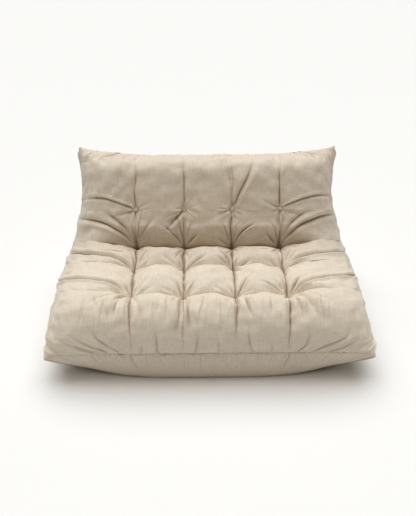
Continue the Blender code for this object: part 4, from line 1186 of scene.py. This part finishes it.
def tooth_tree(finish):
    """A tree that sets one moulded tooth at every pitch along a straight edge."""
    tree = bpy.data.node_groups.new("zip_tooth_row", "GeometryNodeTree")
    sockets = {}
    for name, kind, default in (("Geometry", "Geometry", None), ("Pitch", "Float", 0.0020),
                                ("Tooth Radius", "Float", 0.00062), ("Tooth Reach", "Float", 0.0021)):
        made = tree.interface.new_socket(name, in_out="INPUT", socket_type="NodeSocket" + kind)
        if default is not None:
            made.default_value = default
        sockets[name] = made.identifier
    tree.interface.new_socket("Geometry", in_out="OUTPUT", socket_type="NodeSocketGeometry")
    add = tree.nodes.new
    start, end = add("NodeGroupInput"), add("NodeGroupOutput")
    line = add("GeometryNodeMeshToCurve")
    points = add("GeometryNodeCurveToPoints")
    points.mode = "LENGTH"
    tooth = add("GeometryNodeMeshCylinder")
    tooth.inputs["Vertices"].default_value = 10
    tooth.inputs["Side Segments"].default_value = 3
    upright = add("GeometryNodeInstanceOnPoints")
    real, paint = add("GeometryNodeRealizeInstances"), add("GeometryNodeSetMaterial")
    paint.inputs["Material"].default_value = finish
    links = tree.links.new
    links(start.outputs["Geometry"], line.inputs["Mesh"])
    links(line.outputs["Curve"], points.inputs["Curve"])
    links(start.outputs["Pitch"], points.inputs["Length"])
    links(start.outputs["Tooth Radius"], tooth.inputs["Radius"])
    links(start.outputs["Tooth Reach"], tooth.inputs["Depth"])
    links(points.outputs["Points"], upright.inputs["Points"])
    links(tooth.outputs["Mesh"], upright.inputs["Instance"])
    links(upright.outputs["Instances"], real.inputs["Geometry"])
    links(real.outputs["Geometry"], paint.inputs["Geometry"])
    links(paint.outputs["Geometry"], end.inputs["Geometry"])
    return tree, sockets


def run_tree(name, lines, tree, values):
    """Runs a tree on edges and keeps the outcome as a plain mesh."""
    mesh = bpy.data.meshes.new(name)
    points, edges = [], []
    for line in lines:
        edges += [(len(points) + i, len(points) + i + 1) for i in range(len(line) - 1)]
        points += [tuple(point) for point in line]
    mesh.from_pydata(points, edges, [])
    guide = bpy.data.objects.new(name + "_guide", mesh)
    bpy.context.scene.collection.objects.link(guide)
    work = guide.modifiers.new("repeat", "NODES")
    work.node_group = tree
    for identifier, value in values.items():
        work[identifier] = value
    graph = bpy.context.evaluated_depsgraph_get()
    made = bpy.data.meshes.new_from_object(guide.evaluated_get(graph))
    guide.modifiers.remove(work)
    bpy.data.objects.remove(guide)
    piece = bpy.data.objects.new(name, made)
    made.shade_smooth()
    bpy.context.scene.collection.objects.link(piece)
    return piece


def make_teeth(finish):
    """The two rows of zip teeth, each half a pitch from the other where they mesh."""
    tree, sockets = tooth_tree(finish)
    rows = []
    for name, offset in (("upper", 0.0), ("lower", 0.0010)):
        low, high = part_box("zip_teeth_" + name)
        middle = (low + high) / 2
        line = [(low.x + 0.001 + offset, middle.y, middle.z), (high.x - 0.001, middle.y, middle.z)]
        row = run_tree("zip_teeth_row_" + name, [line], tree, {sockets["Pitch"]: 0.0020})
        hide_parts("zip_teeth_" + name)
        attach(row, "seat")
        rows.append(row)
    return rows


# ---- Whole seat ----------------------------------------------------------------------------------------


def stands_for(piece, nodes):
    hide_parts(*nodes)
    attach(piece, "seat")
    return piece


def make_cover(cloth):
    quilt, place, corner_row, pinch = quilted_points()
    cover = grid_mesh("quilted_linen_cover", quilt, place, cloth, pinch=pinch)
    stands_for(cover, ["quilted_cover"])
    back = outer_back_points(quilt, corner_row)[::-1]
    back = back[::2]
    back = opened(settled_panel(back), zip_gap(back[0, :, 0]), np.array([0, -1.0, 0]))
    across = lengths_along(back[len(back) // 2])
    up = np.cumsum(np.concatenate([[0], np.linalg.norm(np.diff(back[:, len(across) // 2], axis=0), axis=1)]))
    flat = np.stack(np.broadcast_arrays(across[None, :], up[:, None]), axis=-1)
    panel = grid_mesh("outer_back_linen", back[::-1], flat[::-1], cloth)
    stands_for(panel, ["outer_back_panel"])
    band, along = band_points(quilt, corner_row)
    down = np.concatenate([[0], np.cumsum(np.linalg.norm(np.diff(band[:, 0], axis=0), axis=1))])
    flat = np.stack(np.broadcast_arrays(along[None, :], -down[:, None]), axis=-1)
    ring = grid_mesh("base_band_linen", band[::-1], flat[::-1], cloth, closed=True)
    stands_for(ring, ["base_band"])


PANEL_HALF, PANEL_HEIGHT = 0.55, 0.5
PANEL_RISE = 0.0035  # how far the filling pushes the outer back out beside its seams


def settled_panel(grid):
    """The outer back, drawn a little unevenly towards its seams, with shallow drag lines."""
    rows, columns = grid.shape[:2]
    normals = grid_normals(grid)
    toward = np.where(normals[..., 1:2].mean() < 0, -1.0, 1.0)
    normals = normals * toward
    v = np.linspace(0, 1, rows)[:, None]
    u = np.linspace(-1, 1, columns)[None]
    rim = np.minimum(np.minimum(v, 1 - v) * PANEL_HEIGHT, (1 - np.abs(u)) * PANEL_HALF)
    waves = 0.0018 * drifting((rows, columns), 120, 61) + 0.0002 * drifting((rows, columns), 30, 62)
    rise = PANEL_RISE * (1 - np.exp(-rim / 0.005)) * np.exp(-((rim / 0.05) ** 2)) * smooth_step(v, 0.02, 0.16)
    depth = waves * smooth_step(rim, 0, 0.05) + rise
    for start_u, start_v, way, turn, size, deep, width in BACK_FOLDS:
        place = np.stack(np.broadcast_arrays(u * PANEL_HALF, v * PANEL_HEIGHT), axis=-1)
        line = fold_line(np.array([start_u * PANEL_HALF, start_v * PANEL_HEIGHT]), way, turn, size)
        depth = depth - fold_depth(place, line, deep, width, 1) * smooth_step(rim, 0, 0.02)
    return grid + normals * depth[..., None]


BACK_FOLDS = (
    (-0.97, 0.97, 305, 18, 0.34, 0.0060, 0.012), (-0.97, 0.97, 325, 12, 0.24, 0.0040, 0.010),
    (0.97, 0.97, 236, -16, 0.34, 0.0060, 0.012), (0.97, 0.97, 214, -10, 0.24, 0.0040, 0.010),
    (-0.98, 0.03, 48, -18, 0.30, 0.0050, 0.012), (0.98, 0.03, 132, 18, 0.30, 0.0050, 0.012),
    (-0.3, 1.0, 268, 4, 0.12, 0.0030, 0.009), (0.1, 1.0, 274, -6, 0.14, 0.0035, 0.010),
    (0.5, 1.0, 262, 8, 0.10, 0.0030, 0.009), (-0.55, 0.0, 84, 8, 0.13, 0.0030, 0.010),
    (0.25, 0.0, 95, -6, 0.12, 0.0030, 0.010), (-0.05, 0.0, 90, 4, 0.10, 0.0025, 0.009),
)


def make_buttons(cloth):
    for row, row_name in enumerate(ROW_NAMES):
        way = row_way(row)
        for column in range(COLUMNS):
            node = f"button_{row_name}_{column + 1}"
            low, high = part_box(node)
            button = covered_button(f"covered_button_{row_name}_{column + 1}", (low + high) / 2, way, cloth,
                                    10 * row + column)
            stands_for(button, [node])


def finish_nodes():
    """Gives each part that keeps its own shape its finish."""
    wadding, twine = fibre_wadding(), waxed_twine()
    tape = woven_tape("zip_tape_beige", (0.30, 0.24, 0.17, 1), (0.55, 0.46, 0.34, 1), 0.0009)
    webbing = woven_tape("tie_webbing", (0.33, 0.29, 0.21, 1), (0.66, 0.60, 0.48, 1), 0.0018)
    firm = open_foam("firm_seat_foam", (0.80, 0.70, 0.42, 1), 0.0011)
    soft = open_foam("soft_back_foam", (0.86, 0.83, 0.72, 1), 0.0014)
    zinc, dust = brushed_zinc(), dust_cloth()
    starts = {"quilt_wadding": wadding, "outer_back_wadding": wadding, "base_wadding": wadding,
              "base_foam": firm, "seat_foam": firm, "back_foam": soft, "tuft_cord": twine,
              "tie_strip": webbing, "zip_tape": tape, "zip_stop": zinc, "zip_slider": zinc,
              "zip_pull_tab": zinc, "underside_cloth": dust}
    for name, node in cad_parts.items():
        for start, finish in starts.items():
            if name.startswith(start):
                node.data.materials.clear()
                node.data.materials.append(finish)


# ---- Floor, light and camera ---------------------------------------------------------------------------


def make_studio():
    size = 60
    mesh = bpy.data.meshes.new("studio_floor")
    corners = [(-size, -size, 0), (size, -size, 0), (size, size, 0), (-size, size, 0)]
    mesh.from_pydata(corners, [], [(0, 1, 2, 3)])
    mesh.materials.append(studio_floor())
    floor = bpy.data.objects.new("studio_floor", mesh)
    bpy.context.scene.collection.objects.link(floor)
    world = bpy.data.worlds.new("studio")
    world.use_nodes = True
    tree = world.node_tree
    sky, backdrop = tree.nodes["Background"], tree.nodes.new("ShaderNodeBackground")
    sky.inputs["Color"].default_value, sky.inputs["Strength"].default_value = (1, 0.89, 0.76, 1), AMBIENT
    backdrop.inputs["Color"].default_value, backdrop.inputs["Strength"].default_value = (1, 1, 1, 1), 1.0
    path, choice = tree.nodes.new("ShaderNodeLightPath"), tree.nodes.new("ShaderNodeMixShader")
    tree.links.new(path.outputs["Is Camera Ray"], choice.inputs["Fac"])
    tree.links.new(sky.outputs[0], choice.inputs[1])
    tree.links.new(backdrop.outputs[0], choice.inputs[2])
    tree.links.new(choice.outputs[0], tree.nodes["World Output"].inputs[0])
    bpy.context.scene.world = world
    for name, way, softness, power, colour in LIGHTS:
        lamp = bpy.data.lights.new(name, "SUN")
        lamp.angle, lamp.energy, lamp.color = math.radians(softness), power, colour
        holder = bpy.data.objects.new(name, lamp)
        holder.location = (0, 0, 4)
        holder.rotation_euler = Vector(way).to_track_quat("-Z", "Y").to_euler()
        bpy.context.scene.collection.objects.link(holder)


AMBIENT = 0.10
# each light: the way it shines, how wide it looks in degrees, its strength and its colour
LIGHTS = (
    ("overhead_softbox", (0.05, -0.30, -1.0), 66, 3.05, (0.960, 0.985, 1.0)),
    ("front_softbox", (0.15, 0.60, -1.7), 45, 0.74, (1.0, 0.92, 0.82)),
)


def make_camera():
    """Looks down at the seat from the front."""
    tilt, turn = math.radians(30), math.radians(0.8)
    way = Vector((math.sin(turn) * math.cos(tilt), math.cos(turn) * math.cos(tilt), -math.sin(tilt)))
    right = Vector((math.cos(turn), -math.sin(turn), 0))
    up = right.cross(way)
    aim = Vector((-0.005, -0.27 + MIDDLE_Y, 0.26))
    lens = bpy.data.cameras.new("front_camera")
    lens.sensor_width, lens.lens = 36, 62.8
    camera = bpy.data.objects.new("front_camera", lens)
    camera.matrix_world = Matrix.Translation(aim - way * 3.371 + up * 0.1723) @ Matrix(
        (right, up, -way)).transposed().to_4x4()
    bpy.context.scene.collection.objects.link(camera)
    bpy.context.scene.camera = camera


def main():
    for leftover in ("Cube", "Light", "Camera"):
        if leftover in bpy.data.objects:
            bpy.data.objects.remove(bpy.data.objects[leftover])
    cloth = linen("natural_linen")
    make_cover(cloth)
    make_buttons(linen("button_linen", thread=0.0007, depth=0.00018))
    make_teeth(moulded_nylon())
    finish_nodes()
    make_studio()
    make_camera()
    bpy.context.scene.view_settings.view_transform = "Standard"


main()
